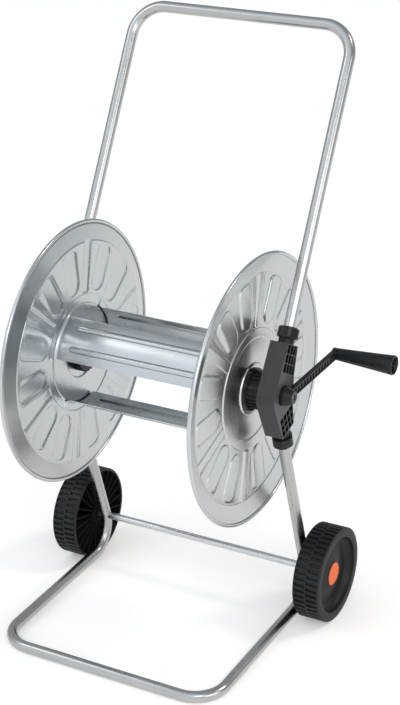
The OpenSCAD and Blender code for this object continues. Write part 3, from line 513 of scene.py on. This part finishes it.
def sheet_finish(name, shade, rough, crease):
    """Galvanised sheet: a faint zinc cloud, a little waviness of the thin metal, a few handling marks, and
    a painted shade, the darker crease colour, where a piece's own crease attribute is 1."""
    f = Nodes(name)
    shaded_crease = f.node("ShaderNodeAttribute", {"attribute_name": "Crease"}, None, "Fac")
    cloud = f.noise(16.0, 4.0)
    spangle = f.noise(420.0, 2.0)
    tone = f.swing(cloud * 0.8 + spangle * 0.2)
    marks = f.spread(f.noise(700.0, 2.0, f.stretched((1.0, 1.0, 0.05))), 0.66, 0.76)
    base = f.mix(tone, scaled(shade, 0.96), scaled(shade, 1.035))
    base = f.mix(marks * 0.06, base, scaled(shade, 0.75))
    # painted shade: the crease colour stands in for the shadow in the creases and at the beads' feet
    base = f.mix(shaded_crease, base, crease)
    roughness = f.swing(cloud, rough - 0.03, rough + 0.05)
    return f.metal(base, roughness, f.bump(f.noise(7.0, 1.0), 1.4 * MM, 0.5))


def tube_finish(name, shade, rough):
    """Galvanised tube: streaks along its length from drawing, and a soft cloudy tone."""
    f = Nodes(name)
    along = f.node("ShaderNodeUVMap", {"uv_map": "Along"}, None, "UV")
    streaks = f.noise(1.0, 3.0, f.stretched((3.0, 500.0, 1.0), along))
    cloud = f.noise(30.0, 3.0)
    tone = f.swing(streaks * 0.6 + cloud * 0.4)
    base = f.mix(tone, scaled(shade, 0.9), scaled(shade, 1.08))
    roughness = f.swing(cloud, rough - 0.03, rough + 0.05)
    return f.metal(base, roughness, f.bump(streaks, 0.02 * MM, 0.2))


def steel_finish(name, shade, rough):
    """Bright zinc plated steel with turning marks too fine to see one by one."""
    f = Nodes(name)
    cloud = f.noise(300.0, 3.0)
    base = f.mix(cloud, scaled(shade, 0.85), scaled(shade, 1.08))
    roughness = f.swing(cloud, rough - 0.05, rough + 0.08)
    return f.metal(base, roughness, f.bump(f.noise(2500.0, 1.0), 0.01 * MM, 0.3))


def bracket_shaded_parts(f):
    """Where a painted shade goes: 1 in the brackets' open cells and on their necks. Along a limb the place
    is s = y sin(lean) + z cos(lean) from the reel's axis, upwards or downwards, and across it
    t = y cos(lean) - z sin(lean)."""
    size = bpy.context.scene.hose_cart_frame
    y, z, x = f.from_reel("Y"), f.from_reel("Z"), f.from_middle()
    deep = f.within(x, size.tube_at - size.cell_depth, size.tube_at + size.cell_depth + 0.3 * MM)
    limbs = (
        (1, size.handle_lean, size.limb_up, size.rear_up),
        (-1, size.leg_lean, size.limb_down, size.rear_down),
    )
    parts = []
    for up, lean, end, rear in limbs:
        s = y * math.sin(lean) + z * (up * math.cos(lean))
        t = y * math.cos(lean) - z * (up * math.sin(lean))
        before = f.within(t + (s - end) * size.limb_slope, -FAR, rear - size.cell_wall)
        along = f.within(s, size.cell_from, end - size.cell_wall)
        parts.append(along * f.within(t, -size.cell_front, FAR) * before * deep)
        parts.append(f.spread(s, end + 0.1 * MM, end + 0.4 * MM))
    return f.spread(sum(parts[1:], parts[0]), 0.0, 1.0)


def moulded_finish(name, shade, rough, gloss, grain, where=None, other=None):
    """Moulded plastic: a fine eroded grain, faint flow clouds and slightly polished high spots. Where the
    function where gives 1, its colour is other, a painted shade."""
    f = Nodes(name)
    cloud, fine, base = f.plastic(shade)
    if where:
        # painted shade where the mask gives 1
        base = f.mix(where(f), base, other)
    roughness = f.swing(cloud * 0.5 + fine * 0.5, rough - 0.04, rough + 0.06)
    normal = f.bump(fine, grain * MM, 0.3)
    return f.surface(Base_Color=base, Roughness=roughness, Normal=normal, Specular_IOR_Level=gloss)


def wheel_finish(name, shade, rough, coat, hollow_coat):
    """Moulded plastic whose reflections come from a coat. The coat is weaker inside a wheel's hollow."""
    f = Nodes(name)
    size, fade = bpy.context.scene.hose_cart_rolling, 0.4 * MM
    hollow_r, hollow_x = size.wheel - size.wall + fade, WHEEL_AT["right"][0] - REEL_AT[0] + size.hollow
    _, fine, base = f.plastic(shade)
    near_axle = f.spread(f.from_axis(WHEEL_AT["left"]), hollow_r, hollow_r + fade, 1.0, 0.0)
    hollow = near_axle * f.spread(f.from_middle(), hollow_x, hollow_x + fade, 1.0, 0.0)
    normal = f.bump(fine, 0.03 * MM, 0.3)
    return f.surface(
        Base_Color=base, Roughness=0.6, Specular_IOR_Level=0.0, Coat_Roughness=rough,
        Coat_Weight=coat + (hollow_coat - coat) * hollow, Normal=normal, Coat_Normal=normal,
    )


FINISH = {}


def finish(slot):
    """The material of a slot, made once."""
    c = bpy.context.scene.hose_cart_finishes
    gloss, grain = c.plastic_gloss, 0.02
    makers = {
        "galvanised_sheet": (sheet_finish, c.sheet, c.sheet_rough, c.crease),
        "galvanised_tube": (tube_finish, c.tube, c.tube_rough),
        # the brackets' cells and necks take the painted shade colour c.hollow
        "charcoal_plastic": (moulded_finish, c.charcoal, 0.36, gloss, grain, bracket_shaded_parts, c.hollow),
        "black_plastic": (moulded_finish, c.black, 0.18, gloss, grain),
        "wheel_plastic": (wheel_finish, c.wheel, 0.42, c.wheel_coat, c.hollow_coat),
        "orange_plastic": (moulded_finish, c.cap, 0.4, gloss, 0.01),
        "pale_plastic": (moulded_finish, c.pale, 0.5, 0.4, grain),
        "bright_steel": (steel_finish, c.steel, 0.25),
        "seal_rubber": (moulded_finish, c.rubber, 0.7, 0.2, grain),
    }
    if slot not in FINISH:
        make, *values = makers[slot]
        FINISH[slot] = make(slot.replace("_", " ").capitalize(), *values)
    return FINISH[slot]


# Pressed sheet


def disc_angles(r, s):
    """Angles of the grid's lines at the radii r, one row per radius. Inside the pattern the lines follow
    the edges of ribs and petals, which keep their distance from their own middle lines, so each line's
    angle is the middle's angle plus or minus the arc sine of distance by radius. Near the hub and the rim
    the lines spread evenly."""
    pattern_end, narrowest, narrowest_out = s.petal_out + 6 * MM, 3.5 * MM, 12 * MM
    held = np.clip(r, s.rib_in, pattern_end)
    half = s.petal_half
    inner = np.sqrt(np.clip(half**2 - (s.petal_in + half - held) ** 2, 0, None))
    inner = np.where(held < s.petal_in + half, inner, half)
    into = np.clip(held - s.petal_out + s.petal_corner, 0, s.petal_corner)
    outer = half - s.petal_corner + np.sqrt(s.petal_corner**2 - into**2)
    width = np.clip(np.minimum(inner, outer), narrowest, None)
    width = np.where(held > s.petal_out - s.petal_corner, np.maximum(width, narrowest_out), width)
    toe, top = np.arcsin(width / held), np.arcsin((width - s.ramp) / held)
    sector = TURN / s.rib_count
    knots = [0 * held, np.arcsin((s.rib_half - s.ramp) / held), np.arcsin(s.rib_half / held)]
    knots += [s.petal_turn + step for step in (-toe, -top, 0 * held, top, toe)]
    knots += [sector / 2 + 0 * held]
    steps = (2, 3, 3, 3, 3, 3, 3, 3)
    half_sector = [
        a[:, None] + (b - a)[:, None] * np.linspace(0, 1, n, endpoint=False)
        for a, b, n in zip(knots, knots[1:], steps)
    ]
    half_sector = np.concatenate(half_sector + [knots[-1][:, None]], 1)
    whole_sector = np.concatenate([half_sector, sector - half_sector[:, -2:0:-1]], 1)
    lines = np.concatenate([whole_sector + k * sector for k in range(s.rib_count)], 1)
    lines = np.concatenate([lines, lines[:, :1] + TURN], 1)
    spread = smooth(pattern_end, s.rim - 12 * MM, r) + 1 - smooth(s.ring_in, s.rib_in, r)
    return lines + (full_turn(lines.shape[1] - 1) - lines) * np.clip(spread, 0, 1)[:, None]


def pressed(r, a, s):
    """Share of the pattern's height at radius r and angle a: 1 well inside a rib or petal, 0 outside. Both
    are rounded boxes, and the share follows the distance to their outline."""
    sector = TURN / s.rib_count
    a = np.abs((a + sector / 2) % sector - sector / 2)

    def inside(angle, start, end, half, corner_in, corner_out):
        x, y = r * np.cos(angle) - (start + end) / 2, np.abs(r * np.sin(angle))
        corner = np.where(x > 0, corner_out, corner_in)
        qx, qy = np.abs(x) - (end - start) / 2 + corner, y - half + corner
        away = np.minimum(np.maximum(qx, qy), 0) + np.hypot(np.maximum(qx, 0), np.maximum(qy, 0)) - corner
        return smooth(0, s.ramp, -away)

    rib = inside(a, s.rib_in, s.rib_out, s.rib_half, 2.5 * MM, 2.5 * MM)
    beside = a - s.petal_turn
    petal = inside(beside, s.petal_in, s.petal_out, s.petal_half, s.petal_half, s.petal_corner)
    return np.maximum(rib, petal)


def disc_points(s):
    """Closed skin of a disc: its outer face from hole to rim, round the rolled bead, and back along the
    inner face, one sheet thickness behind, which sinks a little into a crease beside the bead. Also gives
    where a painted shade darkens that crease, in place of its shadow."""
    fold, ramp_in, ramp_out = 2.2 * MM, 0.2 * MM, 1.4 * MM
    profile = np.array([
        (s.hole, s.centre_rise), (s.centre, s.centre_rise), (s.centre + fold, 0),
        (s.ring_in - ramp_out, 0), (s.ring_in + ramp_in, s.ring_rise),
        (s.ring_out - ramp_in, s.ring_rise), (s.ring_out + ramp_out, 0),
        (s.web - 2 * ramp_in, 0), (s.web + ramp_out, s.web_step), (s.rim, s.rim_rise + s.sheet / 2),
    ])
    r = np.concatenate([
        s.hole + mm(0, 0.6, 3.9, 9.9, 15.9, 18.2),
        np.linspace(s.centre, s.centre + fold, 5),
        s.centre + mm(3, 7, 15, 23, 31),
        s.ring_in - mm(3.4, 2.2),
        np.linspace(s.ring_in - ramp_out, s.ring_in + ramp_in, 4),
        s.ring_in + mm(1, 4, 8, 12),
        np.linspace(s.ring_out - ramp_in, s.ring_out + ramp_out, 4),
        np.linspace(s.rib_in + 0.1 * MM, s.petal_in + 2 * MM, 7),
        np.linspace(s.petal_in + 3.2 * MM, s.petal_out - 3 * MM, 52),
        np.linspace(s.petal_out - 2.1 * MM, s.web - 0.9 * MM, 6),
        np.linspace(s.web - 2 * ramp_in, s.web + ramp_out, 4),
        np.linspace(s.web + 2.1 * MM, s.web + 5 * MM, 4),
        s.rim - mm(23, 19, 14, 9, 6, 5, 4.4, 3.9, 3.4, 3),
    ])
    a, r = disc_angles(r, s), r[:, None]
    base = np.interp(r, profile[:, 0], profile[:, 1])
    neck = smooth(s.rim - 4.8 * MM, s.rim - 3.3 * MM, r)
    lift = np.clip(s.rise - base, 0, None) * pressed(r, a, s) * (r > s.ring_out + MM)
    face = s.web_at + base + lift
    grid_r = r + 0 * a
    rim_turn = np.linspace(190, -163, 19)[:, None]
    shaded_crease = rim_turn < -155
    rim_a = a[-1:] + 0 * rim_turn
    rim_r = s.rim + s.bead * np.cos(np.radians(rim_turn)) + 0 * rim_a
    rim_z = s.web_at + s.rim_rise + s.bead * np.sin(np.radians(rim_turn)) + 0 * rim_a
    radius = np.concatenate([grid_r, rim_r, grid_r[::-1], grid_r[:1]])
    angle = np.concatenate([a, rim_a, a[::-1], a[:1]])
    inner = face - s.sheet + s.neck * neck
    height = np.concatenate([face, rim_z, inner[::-1], face[:1]])
    # painted shade: the last bead points, where they meet the inner face, and the inner face in the crease
    # beside the bead take the darker crease colour in place of their shadow
    shade_mask = np.concatenate([0 * face, 0 * rim_z + shaded_crease, (neck**2 + 0 * a)[::-1], face[:1] * 0])
    return np.stack([radius * np.cos(angle), radius * np.sin(angle), height], -1), shade_mask


def plate_points(s):
    """Closed skin of a drum plate: flange, bend, cylinder, bend, flange, with two beads that end round. A
    bead's section is a circular arc: its height at the distance x from the middle is the square root of
    R^2 - x^2, less R minus the rise, where R is half of (half width squared by rise, plus rise). Also gives
    where a painted shade darkens a bead's foot in place of its shadow, weaker on the inner face."""
    flange_at = s.web_at + s.ring_rise - 2 * s.sheet
    bend_r, bend_at = s.drum + s.flare, flange_at - s.flare
    fall = s.flange - mm(0, 0.25, 0.7)
    fall = np.concatenate([fall, np.linspace(s.flange - 2 * MM, bend_r, 4)[:-1]])
    curl = mm(0.45, 0.15, 0, 0, 0, 0)
    curve = np.linspace(0, np.pi / 2, 7)
    straight = np.concatenate([
        s.bead_end + mm(16, 8),
        np.linspace(s.bead_end + 1 * MM, s.bead_end - 9 * MM, 10),
        np.linspace(s.bead_end - 15 * MM, 10 * MM, 6),
    ])
    half_r = np.concatenate([fall, bend_r - s.flare * np.sin(curve), 0 * straight + s.drum])
    half_z = np.concatenate([curl + flange_at, bend_at + s.flare * np.cos(curve), straight])
    r = np.concatenate([half_r, half_r[::-1]])[:, None]
    z = np.concatenate([half_z, -half_z[::-1]])[:, None]
    foot, soft = s.bead_half / s.drum, 0.3 * MM / s.drum
    beside = foot + soft * np.array([0, 1, 3])
    bead = s.bead_turn + np.concatenate([-beside[::-1], np.linspace(-foot + soft, foot - soft, 11), beside])
    half_a = np.concatenate([
        np.linspace(0, bead[0], 10)[:-1], bead, np.linspace(bead[-1], s.plate_arc / 2, 14)[1:]
    ])
    a = np.concatenate([-half_a[:0:-1], half_a])[None, :]
    off = s.drum * (np.abs(a) - s.bead_turn)
    past = np.clip(np.abs(z) - (s.bead_end - s.bead_half), 0, None)
    reach = np.hypot(off, past)
    # painted shade along each bead's foot, where its shadow would fall
    shade_mask = 1 - smooth(0.1 * MM, 0.85 * MM, np.abs(reach - s.bead_half))
    away = np.clip(reach, 0, s.bead_half)
    arc_r = (s.bead_half**2 / s.bead_rise + s.bead_rise) / 2
    r = r + np.sqrt(arc_r**2 - away**2) - arc_r + s.bead_rise
    points = np.stack([r * np.cos(a), r * np.sin(a), z + 0 * a], -1)
    patches = closed_sheet(points, s.sheet)
    creases = [np.zeros(patch.shape[:2]) for patch in patches]
    # the painted shade is weaker on the inner face
    inner_share = 0.3
    creases[0][:-1] = np.concatenate([shade_mask, inner_share * shade_mask])
    return patches, creases


class HOSECART_OT_discs(bpy.types.Operator):
    """Presses the two discs"""

    bl_idname = "hosecart.discs"
    bl_label = "Discs"

    def execute(self, context):
        s = context.scene.hose_cart_reel
        points, shade_mask = disc_points(s)
        points = turned(points, s.first_rib)
        for side, sign in SIDES.items():
            build(side + "_disc", "_pressed", [on_axis(points, REEL_AT, sign)], 50, [shade_mask])
        return {"FINISHED"}


class HOSECART_OT_drum_plates(bpy.types.Operator):
    """Rolls the drum plates with their beads and flanges"""

    bl_idname = "hosecart.drum_plates"
    bl_label = "Drum plates"

    def execute(self, context):
        s = context.scene.hose_cart_reel
        patches, creases = plate_points(s)
        for k in range(s.plate_count):
            angle = s.first_rib + k * TURN / s.plate_count
            placed = [on_axis(turned(patch, angle), REEL_AT) for patch in patches]
            build("drum_plate_%d" % (k + 1), "_rolled", placed, 50, creases)
        return {"FINISHED"}


# Frame tubes


def bent_path(corners, bends, straight_steps=12, bend_steps=25):
    """Points along a line with rounded corners. Each bend is the arc that touches both straights, so it
    starts at bend radius times the tangent of half the turn before the corner."""
    corners = [np.array(c, float) for c in corners]
    points = [corners[0][None]]
    for before, at, after, bend in zip(corners, corners[1:], corners[2:], bends):
        u, v = (at - before) / np.linalg.norm(at - before), (after - at) / np.linalg.norm(after - at)
        angle = math.acos(np.dot(u, v))
        w = (v - u * np.dot(u, v)) / math.sin(angle)
        start = at - u * bend * math.tan(angle / 2)
        last = points[-1][-1]
        straight = last + (start - last) * np.linspace(0, 1, straight_steps, endpoint=False)[1:, None]
        t = np.linspace(0, angle, bend_steps)[:, None]
        arc = start + w * bend + bend * (u * np.sin(t) - w * np.cos(t))
        points += [straight, arc]
    last = points[-1][-1]
    points.append(last + (corners[-1] - last) * np.linspace(0, 1, straight_steps)[1:, None])
    return np.concatenate(points)


def sweep(path, radius, reference, steps=40):
    """A round skin of the given radius along a path, with closed ends. The section's axes are the cross
    products of the path's direction with the reference direction."""
    along = np.gradient(path, axis=0)
    along /= np.linalg.norm(along, axis=1, keepdims=True)
    n = np.cross(along, reference)
    n /= np.linalg.norm(n, axis=1, keepdims=True)
    b = np.cross(along, n)
    a = full_turn(steps)
    around = n[:, None] * np.cos(a)[None, :, None] + b[:, None] * np.sin(a)[None, :, None]
    size = np.concatenate([[0], np.full(len(path), radius), [0]])
    doubled_ends = [0, *range(len(path)), -1]
    return path[doubled_ends, None] + around[doubled_ends] * size[:, None, None]


class HOSECART_OT_tubes(bpy.types.Operator):
    """Bends the handle and the base"""

    bl_idname = "hosecart.tubes"
    bl_label = "Frame tubes"

    def execute(self, context):
        s = context.scene.hose_cart_frame
        axis_x, axis_y, axis_z = REEL_AT
        handle = (math.sin(s.handle_lean), math.cos(s.handle_lean))
        leg = (math.sin(s.leg_lean), -math.cos(s.leg_lean))

        def at(side, direction, distance):
            y, z = direction
            return axis_x + side * s.tube_at, axis_y + y * distance, axis_z + z * distance

        left, right = axis_x - s.tube_at, axis_x + s.tube_at
        toe_y, heel_y = axis_y - s.toe, axis_y + (axis_z - s.heel) * math.tan(s.leg_lean)
        top = [at(-1, handle, s.socket), at(-1, handle, s.handle_length)]
        top += [at(1, handle, s.handle_length), at(1, handle, s.socket)]
        low = [at(-1, leg, s.socket), (left, heel_y, s.heel), (left, toe_y, s.tube)]
        low += [(right, toe_y, s.tube), (right, heel_y, s.heel), at(1, leg, s.socket)]
        tubes = (
            ("handle_tube", top, [s.handle_bend] * 2, (0, handle[1], -handle[0])),
            ("base_tube", low, [s.heel_bend, s.toe_bend, s.toe_bend, s.heel_bend], (0, -0.82, 0.57)),
        )
        for node, corners, bends, across in tubes:
            build(node, "_drawn", [sweep(bent_path(corners, bends), s.tube, across)])
        return {"FINISHED"}


# Mouldings


class HOSECART_OT_mouldings(bpy.types.Operator):
    """Rounds the edges of brackets, nuts, hubs and water way"""

    bl_idname = "hosecart.mouldings"
    bl_label = "Mouldings"

    def execute(self, context):
        edge = context.scene.hose_cart_frame.edge
        roundings = (
            (0.8, "left_bracket right_bracket"), (0.7, "handle_nuts leg_nuts"),
            (0.6, "left_hub right_hub left_ring_nut right_ring_nut inlet_elbow hose_outlet"),
            (1.3, "crank"),
        )
        for part_of_edge, nodes in roundings:
            for node in nodes.split():
                soften(node, edge * part_of_edge)
        return {"FINISHED"}


class HOSECART_OT_fasteners(bpy.types.Operator):
    """Gives the small CAD pieces that stay their finishes"""

    bl_idname = "hosecart.fasteners"
    bl_label = "Small pieces"

    def execute(self, context):
        for node, piece in frame["nodes"].items():
            if not piece.hide_render:
                dress(node, piece.data)
        return {"FINISHED"}


class HOSECART_OT_grip(bpy.types.Operator):
    """Moulds the hollow grip"""

    bl_idname = "hosecart.grip"
    bl_label = "Grip"

    def execute(self, context):
        s = context.scene.hose_cart_rolling
        bore, seat, hollow, lip = 5.1 * MM, 28 * MM, 6.6 * MM, 2.9 * MM
        flutes_from, flutes_to, swell, side_from, side_share = 7 * MM, 62 * MM, 1.15, 0.012, 0.966
        t = np.linspace(0, 1, 24)
        side_r = s.grip_in + (s.grip_out - s.grip_in) * t**swell
        side_z = s.grip * (side_from + side_share * t)
        skin = np.concatenate([
            [(bore, 0), (s.grip_in - 1.2 * MM, 0), (s.grip_in - 0.4 * MM, 0.4 * MM)],
            np.stack([side_r, side_z], -1),
            (s.grip_out, s.grip) - mm((0.3, 0.8), (1.1, 0), (2.3, 0)),
            [(s.grip_out - lip, s.grip - 1 * MM), (hollow, seat), (bore, seat), (bore, 0)],
        ])

        def flutes(r, z, a):
            """The depth times the square of half of 1 plus cos(count times angle), faded at both ends."""
            held = smooth(flutes_from, flutes_from + 5 * MM, z)
            held = held * (1 - smooth(flutes_to - 2 * MM, flutes_to, z)) * (r > hollow + 1.9 * MM)
            return -s.flute * held * (0.5 + 0.5 * np.cos(s.flute_count * a)) ** 2

        points = revolve(skin, full_turn(s.flute_count * 8), flutes)
        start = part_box("grip")[0][0]
        build("grip", "_moulded", [on_axis(points, (start, *GRIP_AT[1:]))])
        return {"FINISHED"}


# Wheels


def wheel_angles(s):
    """Angles of the wheel's grid, close together at the edges of each groove."""
    pitch, soft = TURN / s.groove_count, 0.35 * MM
    knots = np.array([0, s.groove_half - soft, s.groove_half + soft, s.groove_half + 4 * soft]) / s.wheel
    one = np.concatenate([knots, pitch - knots[:0:-1]])
    turns = (one[None, :] + pitch * np.arange(s.groove_count)[:, None]).ravel()
    return np.concatenate([turns, [TURN]])


def wheel_points(s):
    """Skin of a wheel turned from its section, whose dish ends in a quarter ellipse below the flat band.
    The tread grooves come from two things: the grid's lines are slanted and shifted by a quarter pitch, to
    opposite sides in the two rows, and points of a groove sink."""
    pitch = TURN / s.groove_count
    middle, land, side, web, plug, floor = s.width / 2, 1 * MM, 2.5 * MM, 4 * MM, 13.5 * MM, 27.7 * MM
    row = mm(0.2, 0.7, 2.2, 6.6, 11, 15.4, 17.6, 18.2, 18.8, 19.9)
    tread_z = np.concatenate([middle - land - row[::-1], [middle], middle + land + row])
    tread = np.stack([0 * tread_z + s.wheel, tread_z], -1)
    band = s.wheel - s.band
    low = s.width - s.dish_depth
    cup = np.radians(np.linspace(80, 0, 11))
    bowl = np.linspace(0, 1, 8)[1:, None] ** [[1, 1.5]]
    cup_z = low + s.dish_depth * (1 - np.cos(cup))
    back = np.stack([s.dish + (band - s.dish + web) * np.sin(cup), cup_z - web], -1)
    section = np.concatenate([
        [(s.bore, 0), (s.hub - 0.6 * MM, 0), (s.hub, 0.6 * MM), (s.hub, low)],
        back[::-1],
        [(s.wheel - s.wall, s.width - web), (s.wheel - s.wall, 1 * MM)],
        (s.wheel, 0) - mm((4.2, 0), (1.5, 0), (0.5, -0.5)),
        tread,
        (s.wheel, s.width) - mm((0.5, 0.6), (1.5, 0)),
        (band, s.width) + mm((0.7, 0), (0.15, -0.3)),
        np.stack([s.dish + (band - s.dish) * np.sin(cup), cup_z], -1),
        (s.dish, low) + bowl * (s.cap + 3 * MM - s.dish, s.cap_at - low - 0.3 * MM),
        (s.cap, s.cap_at) + mm((1.8, 0.3), (0.6, 0.2), (0.15, 0)),
        [(s.cap + 0.15 * MM, s.cap_seat), (plug, s.cap_seat), (plug, floor), (s.bore, floor), (s.bore, 0)],
    ])
    base = 0 * section[:, :1] + wheel_angles(s)
    r, z = section[:, :1] + 0 * base, section[:, 1:] + 0 * base
    from_middle = np.abs(z - middle)
    which = np.clip((z - middle) / land, -1, 1)
    centre = middle / 2 + land / 2
    lean = np.abs(which) * (from_middle - centre) * math.tan(s.slant) / s.wheel
    on_tread = smooth(s.wheel - 0.9 * MM, s.wheel - 0.1 * MM, r)
    angle = base + on_tread * (which * pitch / 4 + np.sign(which) * lean)
    from_groove = np.abs((base + pitch / 2) % pitch - pitch / 2) * s.wheel
    in_groove = 1 - smooth(s.groove_half - 0.4 * MM, s.groove_half + 0.4 * MM, from_groove)
    along = smooth(0.1 * MM, 0.8 * MM, from_middle - land)
    along = along * (1 - smooth(middle - side - 0.6 * MM, middle - side + 0.2 * MM, from_middle))
    r = r - s.groove * in_groove * along * on_tread
    return np.stack([r * np.cos(angle), r * np.sin(angle), z], -1)


def wheel_ribs(s):
    """Thin radial blades inside the wheel, from the hub to the tread wall, as one closed box each."""
    inner, outer, low, high, half = s.hub - 1 * MM, s.wheel - 4 * MM, 1 * MM, 27 * MM, 1 * MM
    ring = ((low, -half), (high, -half), (high, half), (low, half), (low, -half))
    ends = ((inner, 0), (inner, 1), (outer, 1), (outer, 0))
    blade = np.array([[(x, y * size, low + (z - low) * size) for z, y in ring] for x, size in ends])
    return [turned(blade, TURN * k / s.spoke_count) for k in range(s.spoke_count)]


class HOSECART_OT_wheels(bpy.types.Operator):
    """Moulds the wheels with their tread"""

    bl_idname = "hosecart.wheels"
    bl_label = "Wheels"

    def execute(self, context):
        s = context.scene.hose_cart_rolling
        patches = [wheel_points(s)] + wheel_ribs(s)
        for side, sign in SIDES.items():
            placed = [on_axis(patch, WHEEL_AT[side], sign) for patch in patches]
            build(side + "_wheel", "_moulded", placed, 35)
        return {"FINISHED"}


class HOSECART_OT_caps(bpy.types.Operator):
    """Moulds the wheel caps"""

    bl_idname = "hosecart.caps"
    bl_label = "Wheel caps"

    def execute(self, context):
        s = context.scene.hose_cart_rolling
        plug, plug_in, plug_end = 13.4 * MM, 11.6 * MM, 28 * MM
        face = np.array([(6, 0.46), (11, 0.32)]) * (MM, -MM) + (0, s.cap_at)
        rim = mm((3.2, 0.15), (2, 0), (0.9, 0.05), (0.25, 0.5), (0, 1.1))
        back = [(plug, s.cap_seat), (plug, plug_end), (plug_in, plug_end), (plug_in, s.cap_seat)]
        skin = np.concatenate([
            [(0, s.cap_at - 0.5 * MM)], face, (s.cap, s.cap_at) - rim,
            [(s.cap, s.cap_seat)], back, [(0, s.cap_seat)],
        ])
        for side, sign in SIDES.items():
            build(side + "_cap", "_moulded", [on_axis(revolve(skin, full_turn(72)), WHEEL_AT[side], sign)])
        return {"FINISHED"}


# Stage


LAMPS = {
    "Key": {"place": (-1.9, -1.2, 2.6), "target": (0, 0, 0.4), "size": (0.8, 0.8), "power": 5},
    "Front": {"place": (1.45, -2.1, 1.95), "target": (0, 0, 0.4), "size": (0.8, 0.8), "power": 9},
    "Side": {"place": (2.75, -1.0, 1.25), "target": (0, 0, 0.5), "size": (2.2, 1.5), "power": 20},
}


def area_light(name, place, target, size, power):
    light = bpy.data.lights.new(name, "AREA")
    light.shape, light.size, light.size_y, light.energy = "RECTANGLE", *size, power
    lamp = put(name, light)
    lamp.location = place
    lamp.rotation_euler = (Vector(target) - Vector(place)).to_track_quat("-Z", "Y").to_euler()


class HOSECART_OT_stage(bpy.types.Operator):
    """Lays the floor and sets the light and the camera"""

    bl_idname = "hosecart.stage"
    bl_label = "Stage"

    def execute(self, context):
        scene, s = context.scene, context.scene.hose_cart_stage
        floor = bpy.data.meshes.new("floor")
        r = s.reach
        floor.from_pydata([(-r, -r, 0), (r, -r, 0), (r, r, 0), (-r, r, 0)], [], [(0, 1, 2, 3)])
        floor.materials.append(Nodes("Floor").surface(
            Base_Color=s.floor, Roughness=0.9, Specular_IOR_Level=0.0,
            Emission_Color=WHITE, Emission_Strength=s.glow,
        ))
        put("floor", floor)

        world = Nodes("Studio", "Generated", "worlds")
        bright = Vector(s.sky_from).normalized()
        facing = world.vector_math("DOT_PRODUCT", world.place, bright, out="Value")
        sky = world.spread(facing, 0.3, 0.9, s.sky_low, s.sky_high)
        seen = world.node("ShaderNodeLightPath", out="Is Camera Ray")
        sky = {"Color": world.mix(seen, s.sky, WHITE), "Strength": seen + (1 - seen) * sky}
        sky = world.node("ShaderNodeBackground", None, sky, "Background")
        world.node("ShaderNodeOutputWorld", None, {"Surface": sky})
        scene.world = world.owner
        for name, lamp in LAMPS.items():
            area_light(name, **lamp)
        sun = bpy.data.lights.new("Sun", "SUN")
        sun.energy, sun.angle, sun.color = s.sun, s.sun_blur, s.sun_tint
        put("Sun", sun).rotation_euler = Vector(s.sun_from).to_track_quat("Z", "Y").to_euler()

        camera = bpy.data.cameras.new("Camera")
        camera.sensor_fit, camera.sensor_height, camera.lens = "VERTICAL", s.film, s.lens
        camera.clip_end = 60.0
        az, el = s.azimuth, s.elevation
        back = Vector((math.sin(az) * math.cos(el), -math.cos(az) * math.cos(el), math.sin(el)))
        right = Vector((math.cos(az), math.sin(az), 0))
        facing = Matrix((right, back.cross(right), back)).transposed()
        facing = facing @ Matrix.Rotation(s.roll, 3, "Z")
        scene.camera = put("Camera", camera)
        scene.camera.matrix_world = Matrix.Translation(s.camera_at) @ facing.to_4x4()
        scene.view_settings.view_transform = "Standard"
        return {"FINISHED"}


class HOSECART_PT_panel(bpy.types.Panel):
    """Buttons for the pieces and the stage"""

    bl_idname = "HOSECART_PT_panel"
    bl_label = "Hose cart"
    bl_space_type = "VIEW_3D"
    bl_region_type = "UI"
    bl_category = "Hose cart"

    def draw(self, context):
        for operator in OPERATORS:
            self.layout.operator(operator.bl_idname)


GROUPS = {
    "hose_cart_reel": ReelSizes,
    "hose_cart_frame": FrameSizes,
    "hose_cart_rolling": RollingSizes,
    "hose_cart_finishes": Finishes,
    "hose_cart_stage": StageSettings,
}
OPERATORS = (
    HOSECART_OT_stage,
    HOSECART_OT_discs,
    HOSECART_OT_drum_plates,
    HOSECART_OT_tubes,
    HOSECART_OT_mouldings,
    HOSECART_OT_grip,
    HOSECART_OT_wheels,
    HOSECART_OT_caps,
    HOSECART_OT_fasteners,
)
CLASSES = (*GROUPS.values(), *OPERATORS, HOSECART_PT_panel)


def register():
    for cls in CLASSES:
        bpy.utils.register_class(cls)
    for name, group in GROUPS.items():
        setattr(bpy.types.Scene, name, bpy.props.PointerProperty(type=group))


def unregister():
    for name in GROUPS:
        delattr(bpy.types.Scene, name)
    for cls in reversed(CLASSES):
        bpy.utils.unregister_class(cls)


def main():
    register()
    for operator in OPERATORS:
        getattr(bpy.ops.hosecart, operator.bl_idname.split(".")[1])()


if __name__ == "__main__":
    main()
